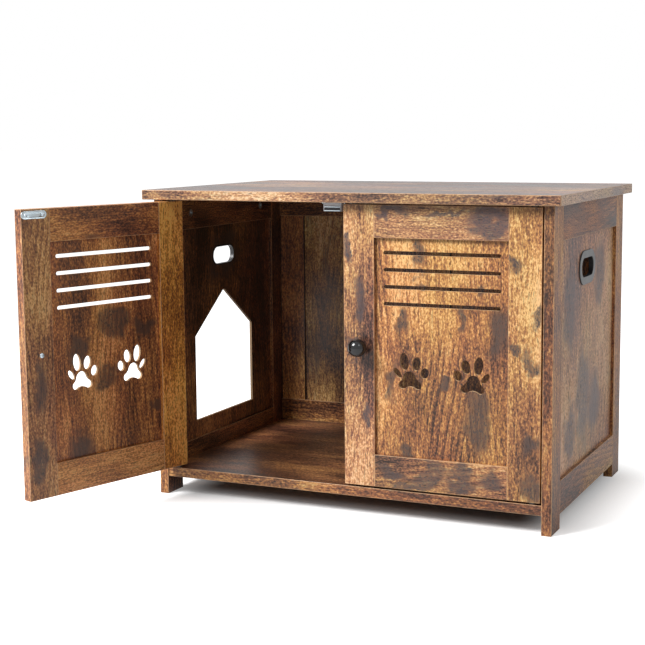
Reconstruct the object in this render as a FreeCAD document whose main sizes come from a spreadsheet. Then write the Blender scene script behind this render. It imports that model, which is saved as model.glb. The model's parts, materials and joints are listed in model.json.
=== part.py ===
import FreeCAD, Part
import math
import os
import Sketcher

# Two-door litter box cabinet: frame-and-panel sides and back between a top and a bottom board,
# a house-shaped pet entry in the left side, a lined hand hole in both sides, and two inset doors
# with air slots and paw cut-outs that swing on pivot pins.
# +Z is up, -Y is the front, and the origin is on the floor under the middle of the four legs.
# The doors stand as the left one is found in use: turned open by its rest angle.

# ---------------------------------------------------------------- driving dimensions (mm, degrees)
SIZES = [
    ("cabinet_height", 580), ("top_width", 800), ("top_depth", 530), ("top_thickness", 18),
    ("side_overhang", 15), ("front_overhang", 18), ("rear_overhang", 12), ("top_edge_round", 1.2),
    ("edge_ease", 0.5),
    ("frame_thickness", 18), ("leg_width", 54), ("side_top_rail_width", 62),
    ("side_bottom_rail_width", 59), ("side_bottom_rail_height", 26),
    ("panel_thickness", 5), ("groove_depth", 8), ("panel_play", 1),
    ("bottom_height", 34), ("bottom_thickness", 18), ("bottom_setback", 2),
    ("back_thickness", 12), ("back_stile_width", 58), ("back_top_rail_width", 58),
    ("back_bottom_rail_width", 46),
    ("entry_width", 236), ("entry_sill_height", 118), ("entry_drop", 130), ("entry_roof", 84),
    ("cutout_forward", 8), ("grip_drop", 30), ("grip_length", 84), ("grip_opening", 34),
    ("grip_wall", 2), ("grip_rim", 12), ("grip_rim_thickness", 2.5), ("grip_play", 0.25),
    ("grip_lip", 1.2), ("grip_edge_round", 1),
    ("door_gap_top", 3), ("door_gap_bottom", 4), ("door_gap_side", 3), ("door_gap_centre", 5),
    ("door_thickness", 18), ("door_stile_width", 58), ("door_rail_width", 58),
    ("pivot_inset", 15), ("left_door_angle", 107.5), ("right_door_angle", 0),
    ("slot_length", 215), ("slot_opening", 6.8), ("slot_pitch", 30), ("slot_drop", 26), ("slot_count", 4),
    ("paw_size", 52), ("paw_spacing", 115), ("paw_height", 198),
    ("knob_diameter", 32.5), ("knob_neck_diameter", 15), ("knob_neck", 4), ("knob_setting", 33),
    ("knob_screw_diameter", 4), ("knob_screw_head", 9), ("knob_screw_grip", 11),
    ("pin_diameter", 6), ("pin_engagement", 12), ("pin_running", 0.05), ("sleeve_wall", 1.5),
    ("sleeve_flange", 2), ("sleeve_running", 0.4),
    ("strike_length", 52), ("strike_height", 14), ("strike_thickness", 1.2), ("strike_boss", 1),
    ("strike_boss_length", 26), ("strike_boss_height", 7.7),
    ("strike_drop", 10), ("strike_screw_pitch", 35), ("strike_edge", 26),
    ("catch_gap", 0.3), ("catch_body_length", 35), ("catch_body_depth", 14), ("catch_body_height", 15),
    ("catch_flange_length", 50), ("catch_flange_thickness", 2.5), ("catch_wall", 2),
    ("magnet_thickness", 5), ("pole_thickness", 1.5), ("pole_reach", 1.5),
    ("small_screw_diameter", 3), ("small_screw_head", 6), ("small_screw_length", 12),
    ("dowel_diameter", 8), ("dowel_length", 30), ("side_dowel_pitch", 32), ("door_dowel_pitch", 24),
    ("hole_spare", 0.5),
    ("back_dowel_diameter", 6), ("back_dowel_length", 20), ("back_dowel_pitch", 30),
    ("cam_diameter", 15), ("cam_depth", 12.5), ("cam_place", 145), ("cam_play", 0.2),
    ("cam_reach_top", 31), ("cam_reach_bottom", 24), ("bolt_diameter", 7), ("bolt_bore_play", 0.5),
    ("bolt_neck", 4), ("bolt_thread_diameter", 5), ("bolt_thread_length", 11),
]

doc = FreeCAD.newDocument("LitterBoxCabinet")
sheet = doc.addObject("Spreadsheet::Sheet", "Sizes")


class Size:
    """A dimension worked out from the sheet: its number now, and the formula that drives it."""

    def __init__(self, number, formula):
        self.number = number
        self.formula = formula

    def __add__(self, other):
        return Size(self.number + plain(other), f"({self.formula} + {text(other)})")

    def __sub__(self, other):
        return Size(self.number - plain(other), f"({self.formula} - {text(other)})")

    def __mul__(self, other):
        return Size(self.number * plain(other), f"({self.formula} * {text(other)})")

    def __truediv__(self, other):
        return Size(self.number / plain(other), f"({self.formula} / {text(other)})")

    def __neg__(self):
        return self * -1

    __radd__ = __add__
    __rmul__ = __mul__


def plain(size):
    return size.number if isinstance(size, Size) else float(size)


def text(size):
    return size.formula if isinstance(size, Size) else f"({float(size):.9f})"


class SheetSizes:
    """The cells of the sheet, each reached by its own name."""

    def __init__(self, rows):
        for row, (name, number) in enumerate(rows, start=1):
            sheet.set(f"A{row}", name)
            sheet.set(f"B{row}", str(number))
            sheet.setAlias(f"B{row}", name)
            setattr(self, name, Size(float(number), f"Sizes.{name}"))


S = SheetSizes(SIZES)
doc.recompute()

# ---------------------------------------------------------------- places worked out from the sizes
top_under = S.cabinet_height - S.top_thickness
leg_front = (S.top_depth - S.front_overhang - S.rear_overhang) / -2
leg_back = -leg_front
top_front = leg_front - S.front_overhang
top_back = leg_back + S.rear_overhang
inner_x = S.top_width / 2 - S.side_overhang - S.frame_thickness
outer_x = inner_x + S.frame_thickness
frame_mid_x = inner_x + S.frame_thickness / 2
side_panel_x = inner_x + (S.frame_thickness - S.panel_thickness) / 2
opening_front = leg_front + S.leg_width
opening_back = leg_back - S.leg_width
side_low = S.side_bottom_rail_height + S.side_bottom_rail_width
side_high = top_under - S.side_top_rail_width
cutout_y = -S.cutout_forward
grip_mid = side_high - S.grip_drop - S.grip_rim - S.grip_wall - S.grip_opening / 2
bottom_top = S.bottom_height + S.bottom_thickness
bottom_mid = S.bottom_height + S.bottom_thickness / 2
back_inner = leg_back - S.back_thickness
back_mid = leg_back - S.back_thickness / 2
back_low = bottom_top + S.back_bottom_rail_width
back_high = top_under - S.back_top_rail_width
back_panel_y = back_inner + (S.back_thickness - S.panel_thickness) / 2
panel_bite = S.groove_depth - S.panel_play

pivot_x = inner_x - S.door_gap_side - S.pivot_inset
pivot_y = leg_front + S.door_thickness / 2
door_low = bottom_top + S.door_gap_bottom
door_high = top_under - S.door_gap_top
door_mid = (door_low + door_high) / 2
door_width = inner_x - S.door_gap_side - S.door_gap_centre / 2
door_inside_low = door_low + S.door_rail_width
door_inside_high = door_high - S.door_rail_width
strike_mid = door_high - S.strike_drop
free_edge = door_width - S.pivot_inset


# ---------------------------------------------------------------- sketching
PLANE_ROLE = {"XY": "XY_Plane", "XZ": "XZ_Plane", "YZ": "YZ_Plane"}
NORMAL_SIGN = {"XY": 1, "XZ": -1, "YZ": 1}
NEAR = 0.01


def hold(sketch, kind, geometry, point, size):
    """Fix one coordinate of a point, measured from the sketch's origin."""
    number = sketch.addConstraint(Sketcher.Constraint(kind, -1, 1, geometry, point, plain(size)))
    sketch.setExpression(f"Constraints[{number}]", text(size))


def outline(steps):
    """A closed outline: each step is the point it leaves from, and a centre if an arc follows."""

    def draw(sketch):
        numbers = [(plain(step[0]), plain(step[1])) for step in steps]
        edges = []
        for index, step in enumerate(steps):
            start = FreeCAD.Vector(*numbers[index], 0)
            end = FreeCAD.Vector(*numbers[(index + 1) % len(steps)], 0)
            if len(step) == 2:
                edges.append(sketch.addGeometry(Part.LineSegment(start, end), False))
            else:
                edges.append(sketch.addGeometry(arc_edge(start, end, step), False))
        for index, step in enumerate(steps):
            start_point, end_point = arc_ends(steps[index])
            before = arc_ends(steps[index - 1])[1]
            sketch.addConstraint(Sketcher.Constraint("Coincident", edges[index - 1], before,
                                                     edges[index], start_point))
            hold(sketch, "DistanceX", edges[index], start_point, step[0])
            hold(sketch, "DistanceY", edges[index], start_point, step[1])
            if len(step) > 2:
                hold_centre(sketch, edges[index], numbers[index], numbers[(index + 1) % len(steps)], step)

    return draw


def arc_ends(step):
    """An arc keeps its ends in anticlockwise order, so a clockwise one starts at its second end."""
    if len(step) > 2 and step[4] < 0:
        return 2, 1
    return 1, 2


def arc_edge(start, end, step):
    centre = FreeCAD.Vector(plain(step[2]), plain(step[3]), 0)
    first, last = (start, end) if step[4] > 0 else (end, start)
    from_angle = math.atan2(first.y - centre.y, first.x - centre.x)
    to_angle = math.atan2(last.y - centre.y, last.x - centre.x)
    circle = Part.Circle(centre, FreeCAD.Vector(0, 0, 1), (first - centre).Length)
    return Part.ArcOfCircle(circle, from_angle, to_angle)


def hold_centre(sketch, edge, start, end, step):
    """The ends fix all but one coordinate of the centre: the one across the chord is held."""
    if abs(start[0] - end[0]) < abs(start[1] - end[1]):
        hold(sketch, "DistanceX", edge, 3, step[2])
    else:
        hold(sketch, "DistanceY", edge, 3, step[3])


def rectangle(left, right, low, high):
    return outline([(left, low), (right, low), (right, high), (left, high)])


def obround(middle_u, middle_v, length, height):
    radius = height / 2
    reach = length / 2 - radius
    left, right = middle_u - reach, middle_u + reach
    low, high = middle_v - radius, middle_v + radius
    return outline([(left, low), (right, low, right, middle_v, 1),
                    (right, high), (left, high, left, middle_v, 1)])


def circles(places, diameter):
    def draw(sketch):
        for place_u, place_v in places:
            middle = FreeCAD.Vector(plain(place_u), plain(place_v), 0)
            circle = Part.Circle(middle, FreeCAD.Vector(0, 0, 1), plain(diameter) / 2)
            edge = sketch.addGeometry(circle, False)
            hold(sketch, "DistanceX", edge, 3, place_u)
            hold(sketch, "DistanceY", edge, 3, place_v)
            number = sketch.addConstraint(Sketcher.Constraint("Diameter", edge, plain(diameter)))
            sketch.setExpression(f"Constraints[{number}]", text(diameter))

    return draw


def ellipse(middle_u, middle_v, length, width, lean):
    """An upright ellipse whose top leans by an angle in degrees, to the right where positive."""

    def draw(sketch):
        middle = FreeCAD.Vector(plain(middle_u), plain(middle_v), 0)
        tilt = math.radians(90 - lean)
        major = FreeCAD.Vector(math.cos(tilt), math.sin(tilt), 0) * (plain(length) / 2)
        minor = FreeCAD.Vector(-math.sin(tilt), math.cos(tilt), 0) * (plain(width) / 2)
        edge = sketch.addGeometry(Part.Ellipse(middle + major, middle + minor, middle), False)
        first_axis = sketch.GeometryCount
        sketch.exposeInternalGeometry(edge)
        hold(sketch, "DistanceX", edge, 3, middle_u)
        hold(sketch, "DistanceY", edge, 3, middle_v)
        for axis, size in ((first_axis, length), (first_axis + 1, width)):
            number = sketch.addConstraint(Sketcher.Constraint("Distance", axis, plain(size)))
            sketch.setExpression(f"Constraints[{number}]", text(size))
        line = sketch.Geometry[first_axis]
        slope = math.atan2(line.EndPoint.y - line.StartPoint.y, line.EndPoint.x - line.StartPoint.x)
        sketch.addConstraint(Sketcher.Constraint("Angle", first_axis, slope))

    return draw


# ---------------------------------------------------------------- pieces
made = []


class Piece:
    """One sub-part: a body whose slabs, cuts and turned forms are drawn on its own planes."""

    def __init__(self, name, several=False):
        self.body = doc.addObject("PartDesign::Body", name)
        self.body.Label = name
        self.body.AllowCompound = several
        made.append(self)

    def name(self):
        return self.body.Label

    def sketch(self, plane, level, draw, shift=(0, 0)):
        sketch = self.body.newObject("Sketcher::SketchObject", "Sketch")
        origin_plane = [item for item in self.body.Origin.OriginFeatures
                        if item.Role == PLANE_ROLE[plane]][0]
        sketch.AttachmentSupport = (origin_plane, [""])
        sketch.MapMode = "FlatFace"
        sketch.setExpression("AttachmentOffset.Base.z", text(NORMAL_SIGN[plane] * level))
        sketch.setExpression("AttachmentOffset.Base.x", text(shift[0]))
        sketch.setExpression("AttachmentOffset.Base.y", text(shift[1]))
        for shape in draw if isinstance(draw, list) else [draw]:
            shape(sketch)
        sketch.Visibility = False
        return sketch

    def slab(self, plane, low, thickness, draw):
        """Material from the level low, through a thickness towards the plane's positive side."""
        pad = self.body.newObject("PartDesign::Pad", "Pad")
        pad.Profile = self.sketch(plane, low, draw)
        pad.setExpression("Length", text(thickness))
        pad.Reversed = NORMAL_SIGN[plane] < 0
        return self

    def cut(self, plane, low, depth, draw):
        """A cut over the same kind of stretch."""
        pocket = self.body.newObject("PartDesign::Pocket", "Pocket")
        pocket.Profile = self.sketch(plane, low, draw)
        pocket.setExpression("Length", text(depth))
        pocket.Reversed = NORMAL_SIGN[plane] > 0
        return self

    def turn(self, plane, level, shift, axis, steps):
        """A turned form: its half outline goes round the sketch's own H or V axis."""
        revolution = self.body.newObject("PartDesign::Revolution", "Revolution")
        profile = self.sketch(plane, level, outline(steps), shift)
        revolution.Profile = profile
        revolution.ReferenceAxis = (profile, [f"{axis}_Axis"])
        revolution.Angle = 360
        return self

    def round_edges(self, radius, wanted):
        """Round the edges that the test picks."""
        doc.recompute()
        tip = self.body.Tip
        names = [f"Edge{number}" for number, edge in enumerate(tip.Shape.Edges, start=1) if wanted(edge)]
        fillet = self.body.newObject("PartDesign::Fillet", "Fillet")
        fillet.Base = (tip, names)
        fillet.setExpression("Radius", text(radius))
        return self

    def ease(self):
        """Break every edge of the board drawn so far with a small bevel, as cut boards have."""
        doc.recompute()
        tip = self.body.Tip
        bevel = self.body.newObject("PartDesign::Chamfer", "Ease")
        bevel.Base = (tip, [f"Edge{number}" for number in range(1, len(tip.Shape.Edges) + 1)])
        bevel.setExpression("Size", text(S.edge_ease))
        return self

    def mirror(self, *planes):
        """Copies across one or two of the cabinet's middle planes."""
        several = self.body.newObject("PartDesign::MultiTransform", "Copies")
        several.Originals = [item for item in self.body.Group
                             if item.isDerivedFrom("PartDesign::FeatureAddSub")]
        steps = []
        for plane in planes:
            step = self.body.newObject("PartDesign::Mirrored", "Mirror")
            origin_plane = [item for item in self.body.Origin.OriginFeatures
                            if item.Role == PLANE_ROLE[plane]][0]
            step.MirrorPlane = (origin_plane, [""])
            steps.append(step)
        several.Transformations = steps
        self.body.Tip = several
        return self

    def hang(self, side):
        """Carry the piece on a door: drawn about the pivot, then set at it and turned open."""
        angle = S.right_door_angle if side > 0 else -S.left_door_angle
        self.body.Placement.Rotation = FreeCAD.Rotation(FreeCAD.Vector(0, 0, 1), plain(angle))
        self.body.setExpression("Placement.Base.x", text(side * pivot_x))
        self.body.setExpression("Placement.Base.y", text(pivot_y))
        self.body.setExpression("Placement.Rotation.Angle", text(angle))
        return self


def between(side, near, far):
    """The low end and the length of a stretch along X, given by its distances from the middle."""
    return (near, far - near) if side > 0 else (-far, far - near)


def along(side, near, far):
    """Both ends of such a stretch, the lower first."""
    return (near, far) if side > 0 else (-far, -near)


SIDE_NAME = {-1: "left", 1: "right"}


# ---------------------------------------------------------------- top and bottom boards
def top_panel():
    board = Piece("top_panel")
    board.slab("XY", top_under, S.top_thickness,
               rectangle(S.top_width / -2, S.top_width / 2, top_front, top_back))
    pins = [(side * pivot_x, pivot_y) for side in (-1, 1)]
    board.cut("XY", top_under, S.pin_engagement, circles(pins, S.pin_diameter))
    bolts = [(side * frame_mid_x, end * S.cam_place) for side in (-1, 1) for end in (-1, 1)]
    board.cut("XY", top_under, S.bolt_thread_length, circles(bolts, S.bolt_thread_diameter))
    board.cut("XY", top_under, S.small_screw_length - S.catch_flange_thickness,
              circles(catch_screw_places(), S.small_screw_diameter))
    board.round_edges(S.top_edge_round, on_outer_skin)


def on_outer_skin(edge):
    """The twelve edges of the top board, and none of its holes' rims."""
    middle = edge.BoundBox.Center
    reach = abs(abs(middle.x) - plain(S.top_width) / 2)
    depth = min(abs(middle.y - plain(top_front)), abs(middle.y - plain(top_back)))
    return min(reach, depth) < NEAR


def bottom_panel():
    board = Piece("bottom_panel")
    board.slab("XY", S.bottom_height, S.bottom_thickness,
               rectangle(-inner_x, inner_x, leg_front + S.bottom_setback, leg_back)).ease()
    pins = [(side * pivot_x, pivot_y) for side in (-1, 1)]
    board.cut("XY", bottom_top - S.pin_engagement, S.pin_engagement, circles(pins, S.pin_diameter))
    cams = [(side * (inner_x - S.cam_reach_bottom), end * S.cam_place)
            for side in (-1, 1) for end in (-1, 1)]
    board.cut("XY", S.bottom_height, S.cam_depth + S.cam_play,
              circles(cams, S.cam_diameter + S.cam_play))
    bores = circles([(end * S.cam_place, bottom_mid) for end in (-1, 1)],
                    S.bolt_diameter + S.bolt_bore_play)
    for side in (-1, 1):
        board.cut("YZ", *between(side, inner_x - S.cam_reach_bottom, inner_x), bores)


# ---------------------------------------------------------------- frame-and-panel sides
def dowel_heights(low, high, pitch):
    """Two dowels to a joint, either side of the rail's middle."""
    return [(low + high) / 2 + end * pitch / 2 for end in (-1, 1)]


def side_dowel_places(side):
    heights = dowel_heights(S.side_bottom_rail_height, side_low, S.side_dowel_pitch)
    heights += dowel_heights(side_high, top_under, S.side_dowel_pitch)
    return [(side * frame_mid_x, height) for height in heights]


def side_leg(side, end):
    """An upright of the side: its groove and dowel holes are in the edge that faces the panel."""
    leg = Piece(f"{SIDE_NAME[side]}_{'front' if end < 0 else 'rear'}_leg")
    outside = end * leg_back
    inside = end * opening_back
    low_y, high_y = (outside, inside) if end < 0 else (inside, outside)
    leg.slab("YZ", *between(side, inner_x, outer_x), rectangle(low_y, high_y, 0, top_under)).ease()
    groove_floor = inside + end * S.groove_depth
    groove = (groove_floor, inside) if end < 0 else (inside, groove_floor)
    leg.cut("YZ", *between(side, side_panel_x, side_panel_x + S.panel_thickness),
            rectangle(*groove, side_low - S.groove_depth, side_high + S.groove_depth))
    bore = S.dowel_length / 2 + S.hole_spare
    leg.cut("XZ", inside - bore if end < 0 else inside, bore,
            circles(side_dowel_places(side), S.dowel_diameter))
    if end > 0:
        depth = S.back_dowel_length / 2 + S.hole_spare
        leg.cut("YZ", *between(side, inner_x, inner_x + depth),
                circles([(back_mid, height) for height in back_dowel_heights()],
                        S.back_dowel_diameter))


def side_rail(side, level):
    """A rail between the legs, grooved for the panel and bored for its dowels and cams."""
    rail = Piece(f"{SIDE_NAME[side]}_{level}_rail")
    low, high = (side_high, top_under) if level == "top" else (S.side_bottom_rail_height, side_low)
    rail.slab("YZ", *between(side, inner_x, outer_x),
              rectangle(opening_front, opening_back, low, high)).ease()
    groove = (low, low + S.groove_depth) if level == "top" else (high - S.groove_depth, high)
    rail.cut("YZ", *between(side, side_panel_x, side_panel_x + S.panel_thickness),
             rectangle(opening_front, opening_back, *groove))
    bore = S.dowel_length / 2 + S.hole_spare
    heights = dowel_heights(low, high, S.side_dowel_pitch)
    holes = circles([(side * frame_mid_x, height) for height in heights], S.dowel_diameter)
    rail.cut("XZ", opening_front, bore, holes)
    rail.cut("XZ", opening_back - bore, bore, holes)
    ends = [end * S.cam_place for end in (-1, 1)]
    if level == "top":
        cam_height = top_under - S.cam_reach_top
        rail.cut("YZ", *between(side, inner_x, inner_x + S.cam_depth + S.cam_play),
                 circles([(place, cam_height) for place in ends], S.cam_diameter + S.cam_play))
        rail.cut("XY", cam_height, S.cam_reach_top,
                 circles([(side * frame_mid_x, place) for place in ends],
                         S.bolt_diameter + S.bolt_bore_play))
    else:
        rail.cut("YZ", *between(side, inner_x, inner_x + S.bolt_thread_length),
                 circles([(place, bottom_mid) for place in ends], S.bolt_thread_diameter))


def side_panel(side):
    """The thin board in the side's grooves, with its hand hole and, on the left, the pet entry."""
    panel = Piece(f"{SIDE_NAME[side]}_side_panel")
    stretch = between(side, side_panel_x, side_panel_x + S.panel_thickness)
    panel.slab("YZ", *stretch, rectangle(opening_front - panel_bite, opening_back + panel_bite,
                                         side_low - panel_bite, side_high + panel_bite))
    sleeve = (S.grip_wall + S.grip_play) * 2
    cuts = [obround(cutout_y, grip_mid, S.grip_length + sleeve, S.grip_opening + sleeve)]
    if side < 0:
        cuts.append(entry_outline())
    panel.cut("YZ", *stretch, cuts)


def entry_outline():
    """A house: two walls on a sill and a pitched roof."""
    front, back = cutout_y - S.entry_width / 2, cutout_y + S.entry_width / 2
    ridge = side_high - S.entry_drop
    eaves = ridge - S.entry_roof
    return outline([(front, S.entry_sill_height), (back, S.entry_sill_height), (back, eaves),
                    (cutout_y, ridge), (front, eaves)])


def grip_liner(side):
    """The moulded ring that lines a hand hole: rim outside, sleeve through, snap lip inside."""
    liner = Piece(f"{SIDE_NAME[side]}_grip_liner")
    panel_face = side_panel_x + S.panel_thickness
    sleeve_inner = side_panel_x - S.grip_lip
    rim = S.grip_rim * 2 + S.grip_wall * 2
    walls = S.grip_wall * 2
    liner.slab("YZ", *between(side, panel_face, panel_face + S.grip_rim_thickness),
               obround(cutout_y, grip_mid, S.grip_length + rim, S.grip_opening + rim))
    liner.slab("YZ", *between(side, sleeve_inner, panel_face),
               obround(cutout_y, grip_mid, S.grip_length + walls, S.grip_opening + walls))
    lip_length = (S.grip_length - S.grip_opening) / 2
    reach = S.grip_opening / 2 + S.grip_wall + S.grip_play + S.grip_lip
    root = S.grip_opening / 2
    for sign in (-1, 1):
        low, high = along(sign, root, reach)
        liner.slab("YZ", *between(side, sleeve_inner, side_panel_x),
                   rectangle(cutout_y - lip_length / 2, cutout_y + lip_length / 2,
                             grip_mid + low, grip_mid + high))
    liner.cut("YZ", *between(side, sleeve_inner, panel_face + S.grip_rim_thickness),
              obround(cutout_y, grip_mid, S.grip_length, S.grip_opening))
    face = side * plain(panel_face + S.grip_rim_thickness)
    liner.round_edges(S.grip_edge_round, lambda edge: lies_at_x(edge, face))


def lies_at_x(edge, place):
    box = edge.BoundBox
    return abs(box.XMin - place) < NEAR and abs(box.XMax - place) < NEAR


def side_dowels():
    """The dowels of the eight leg-and-rail joints."""
    dowels = Piece("side_frame_dowels", several=True)
    places = circles(side_dowel_places(-1) + side_dowel_places(1), S.dowel_diameter)
    for joint in (opening_front, opening_back):
        dowels.slab("XZ", joint - S.dowel_length / 2, S.dowel_length, places)


# ---------------------------------------------------------------- back
def back_dowel_heights():
    """The back is pinned to the rear legs near both rails and half way up."""
    return [bottom_top + S.back_bottom_rail_width / 2, (bottom_top + top_under) / 2,
            top_under - S.back_top_rail_width / 2]


def back_stile_edges():
    """Both edges of the three uprights, from left to right."""
    half = S.back_stile_width / 2
    return {"left": (-inner_x, S.back_stile_width - inner_x), "centre": (-half, half),
            "right": (inner_x - S.back_stile_width, inner_x)}


def back_stile_dowels(edges):
    middle = (edges[0] + edges[1]) / 2
    return [(middle + end * S.back_dowel_pitch / 2, back_mid) for end in (-1, 1)]


def back_stile(name):
    edges = back_stile_edges()[name]
    stile = Piece(f"back_{name}_stile")
    stile.slab("XZ", back_inner, S.back_thickness, rectangle(*edges, back_low, back_high)).ease()
    grooves = []
    if name != "left":
        grooves.append(rectangle(edges[0], edges[0] + S.groove_depth, back_low, back_high))
    if name != "right":
        grooves.append(rectangle(edges[1] - S.groove_depth, edges[1], back_low, back_high))
    stile.cut("XZ", back_panel_y, S.panel_thickness, grooves)
    bore = S.back_dowel_length / 2 + S.hole_spare
    holes = circles(back_stile_dowels(edges), S.back_dowel_diameter)
    stile.cut("XY", back_low, bore, holes)
    stile.cut("XY", back_high - bore, bore, holes)
    if name != "centre":
        side = 1 if name == "right" else -1
        stile.cut("YZ", *between(side, inner_x - bore, inner_x),
                  circles([(back_mid, back_dowel_heights()[1])], S.back_dowel_diameter))


def back_rail(level):
    rail = Piece(f"back_{level}_rail")
    low, high = (back_high, top_under) if level == "top" else (bottom_top, back_low)
    rail.slab("XZ", back_inner, S.back_thickness, rectangle(-inner_x, inner_x, low, high)).ease()
    groove = (low, low + S.groove_depth) if level == "top" else (high - S.groove_depth, high)
    rail.cut("XZ", back_panel_y, S.panel_thickness,
             [rectangle(left - S.groove_depth, right + S.groove_depth, *groove)
              for left, right in back_openings()])
    bore = S.back_dowel_length / 2 + S.hole_spare
    places = sum([back_stile_dowels(edges) for edges in back_stile_edges().values()], [])
    rail.cut("XY", low if level == "top" else high - bore, bore, circles(places, S.back_dowel_diameter))
    height = back_dowel_heights()[2 if level == "top" else 0]
    for side in (-1, 1):
        rail.cut("YZ", *between(side, inner_x - bore, inner_x),
                 circles([(back_mid, height)], S.back_dowel_diameter))


def back_openings():
    edges = back_stile_edges()
    return [(edges["left"][1], edges["centre"][0]), (edges["centre"][1], edges["right"][0])]


def back_panel(side):
    left, right = back_openings()[0 if side < 0 else 1]
    panel = Piece(f"back_{SIDE_NAME[side]}_panel")
    panel.slab("XZ", back_panel_y, S.panel_thickness,
               rectangle(left - panel_bite, right + panel_bite,
                         back_low - panel_bite, back_high + panel_bite))


def back_dowels():
    """Upright dowels between stiles and rails, and level ones into the rear legs."""
    dowels = Piece("back_frame_dowels", several=True)
    places = sum([back_stile_dowels(edges) for edges in back_stile_edges().values()], [])
    for joint in (back_low, back_high):
        dowels.slab("XY", joint - S.back_dowel_length / 2, S.back_dowel_length,
                    circles(places, S.back_dowel_diameter))
    level = circles([(back_mid, height) for height in back_dowel_heights()], S.back_dowel_diameter)
    half = S.back_dowel_length / 2
    for side in (-1, 1):
        dowels.slab("YZ", *between(side, inner_x - half, inner_x + half), level)


# ---------------------------------------------------------------- cam fittings
# Shares of a bolt's radius: its head's reach past the cam's middle, the flat end, and the shoulder.
BOLT_HEAD_REACH, BOLT_HEAD_FLAT, BOLT_SHOULDER = 0.75, 0.6, 0.3
# The screwdriver's cross: its arms as a share of the cam, its half width and depth in cam plays.
CROSS_ARM, CROSS_HALF_WIDTH, CROSS_DEPTH = 1 / 3, 4, 8


def bolt_steps(reach):
    """Half outline of a cam bolt along its axis: thread, shank, neck and head."""
    thread = S.bolt_thread_diameter / 2
    shank = S.bolt_diameter / 2
    neck = S.bolt_neck / 2
    shank_end = reach - S.cam_diameter / 2 - S.cam_play
    head_start = reach - shank
    head_end = reach + shank * BOLT_HEAD_REACH
    return [(-S.bolt_thread_length, 0), (head_end, 0), (head_end, shank * BOLT_HEAD_FLAT),
            (reach + shank * BOLT_SHOULDER, shank), (head_start, shank), (head_start, neck),
            (shank_end, neck), (shank_end, shank), (0, shank), (0, thread),
            (-S.bolt_thread_length, thread)]


def top_cam_bolts():
    """From the underside of the top board down into the side rails."""
    bolts = Piece("top_cam_bolts", several=True)
    down = [(radius, -place) for place, radius in reversed(bolt_steps(S.cam_reach_top))]
    bolts.turn("XZ", S.cam_place, (frame_mid_x, top_under), "V", down)
    bolts.mirror("YZ", "XZ")


def bottom_cam_bolts():
    """From the bottom rails level into the edges of the bottom board."""
    bolts = Piece("bottom_cam_bolts", several=True)
    inward = [(-place, radius) for place, radius in reversed(bolt_steps(S.cam_reach_bottom))]
    bolts.turn("XZ", S.cam_place, (inner_x, bottom_mid), "H", inward)
    bolts.mirror("YZ", "XZ")


def cam_mouth():
    """The room that a bolt's head takes inside its cam, either side of the bolt's axis."""
    return (S.bolt_diameter + S.bolt_bore_play) / 2


def cross_arms(middle_u, middle_v):
    """The cross for the screwdriver, as long as two thirds of the cam."""
    arm = S.cam_diameter * CROSS_ARM
    thick = S.cam_play * CROSS_HALF_WIDTH
    return [rectangle(middle_u - arm, middle_u + arm, middle_v - thick, middle_v + thick),
            rectangle(middle_u - thick, middle_u + thick, middle_v - arm, middle_v + arm)]


def top_cams():
    cams = Piece("top_cam_discs", several=True)
    height = top_under - S.cam_reach_top
    cams.slab("YZ", inner_x + S.cam_play, S.cam_depth, circles([(S.cam_place, height)], S.cam_diameter))
    mouth = cam_mouth()
    cams.cut("YZ", frame_mid_x - mouth, mouth * 2,
             rectangle(S.cam_place - mouth, S.cam_place + mouth, height - mouth, height + S.cam_diameter))
    for arm in cross_arms(S.cam_place, height):
        cams.cut("YZ", inner_x + S.cam_play, S.cam_play * CROSS_DEPTH, arm)
    cams.mirror("YZ", "XZ")


def bottom_cams():
    cams = Piece("bottom_cam_discs", several=True)
    middle = inner_x - S.cam_reach_bottom
    cams.slab("XY", S.bottom_height + S.cam_play, S.cam_depth - S.cam_play,
              circles([(middle, S.cam_place)], S.cam_diameter))
    mouth = cam_mouth()
    cams.cut("XY", bottom_mid - mouth, mouth * 2,
             rectangle(middle - mouth, middle + S.cam_diameter, S.cam_place - mouth, S.cam_place + mouth))
    for arm in cross_arms(middle, S.cam_place):
        cams.cut("XY", S.bottom_height + S.cam_play, S.cam_play * CROSS_DEPTH, arm)
    cams.mirror("YZ", "XZ")


# ---------------------------------------------------------------- magnetic catches
catch_middle = S.door_gap_centre / 2 + S.strike_edge
catch_face = leg_front + S.door_thickness + S.strike_thickness + S.strike_boss + S.catch_gap
catch_front = catch_face + S.pole_reach
catch_low = top_under - S.catch_flange_thickness - S.catch_body_height


def catch_screw_places():
    reach = (S.catch_flange_length + S.catch_body_length) / 4
    return [(side * (catch_middle + end * reach), catch_front + S.catch_body_depth / 2)
            for side in (-1, 1) for end in (-1, 1)]


def catch_housing(side):
    """A magnet holder under the top board: ears for two screws and a cell open to the door."""
    housing = Piece(f"{SIDE_NAME[side]}_catch_housing")
    ears = along(side, catch_middle - S.catch_flange_length / 2, catch_middle + S.catch_flange_length / 2)
    body = along(side, catch_middle - S.catch_body_length / 2, catch_middle + S.catch_body_length / 2)
    back = catch_front + S.catch_body_depth
    flange_low = top_under - S.catch_flange_thickness
    housing.slab("XY", flange_low, S.catch_flange_thickness, rectangle(*ears, catch_front, back))
    housing.slab("XY", catch_low, S.catch_body_height, rectangle(*body, catch_front, back))
    cell = along(side, catch_middle - S.catch_body_length / 2 + S.catch_wall,
                 catch_middle + S.catch_body_length / 2 - S.catch_wall)
    half_cell = S.magnet_thickness / 2 + S.pole_thickness
    housing.cut("XZ", catch_front, S.catch_body_depth - S.catch_wall,
                rectangle(*cell, strike_mid - half_cell, strike_mid + half_cell))
    housing.cut("XY", flange_low, S.catch_flange_thickness,
                circles([place for place in catch_screw_places() if plain(place[0]) * side > 0],
                        S.small_screw_diameter))


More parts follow.
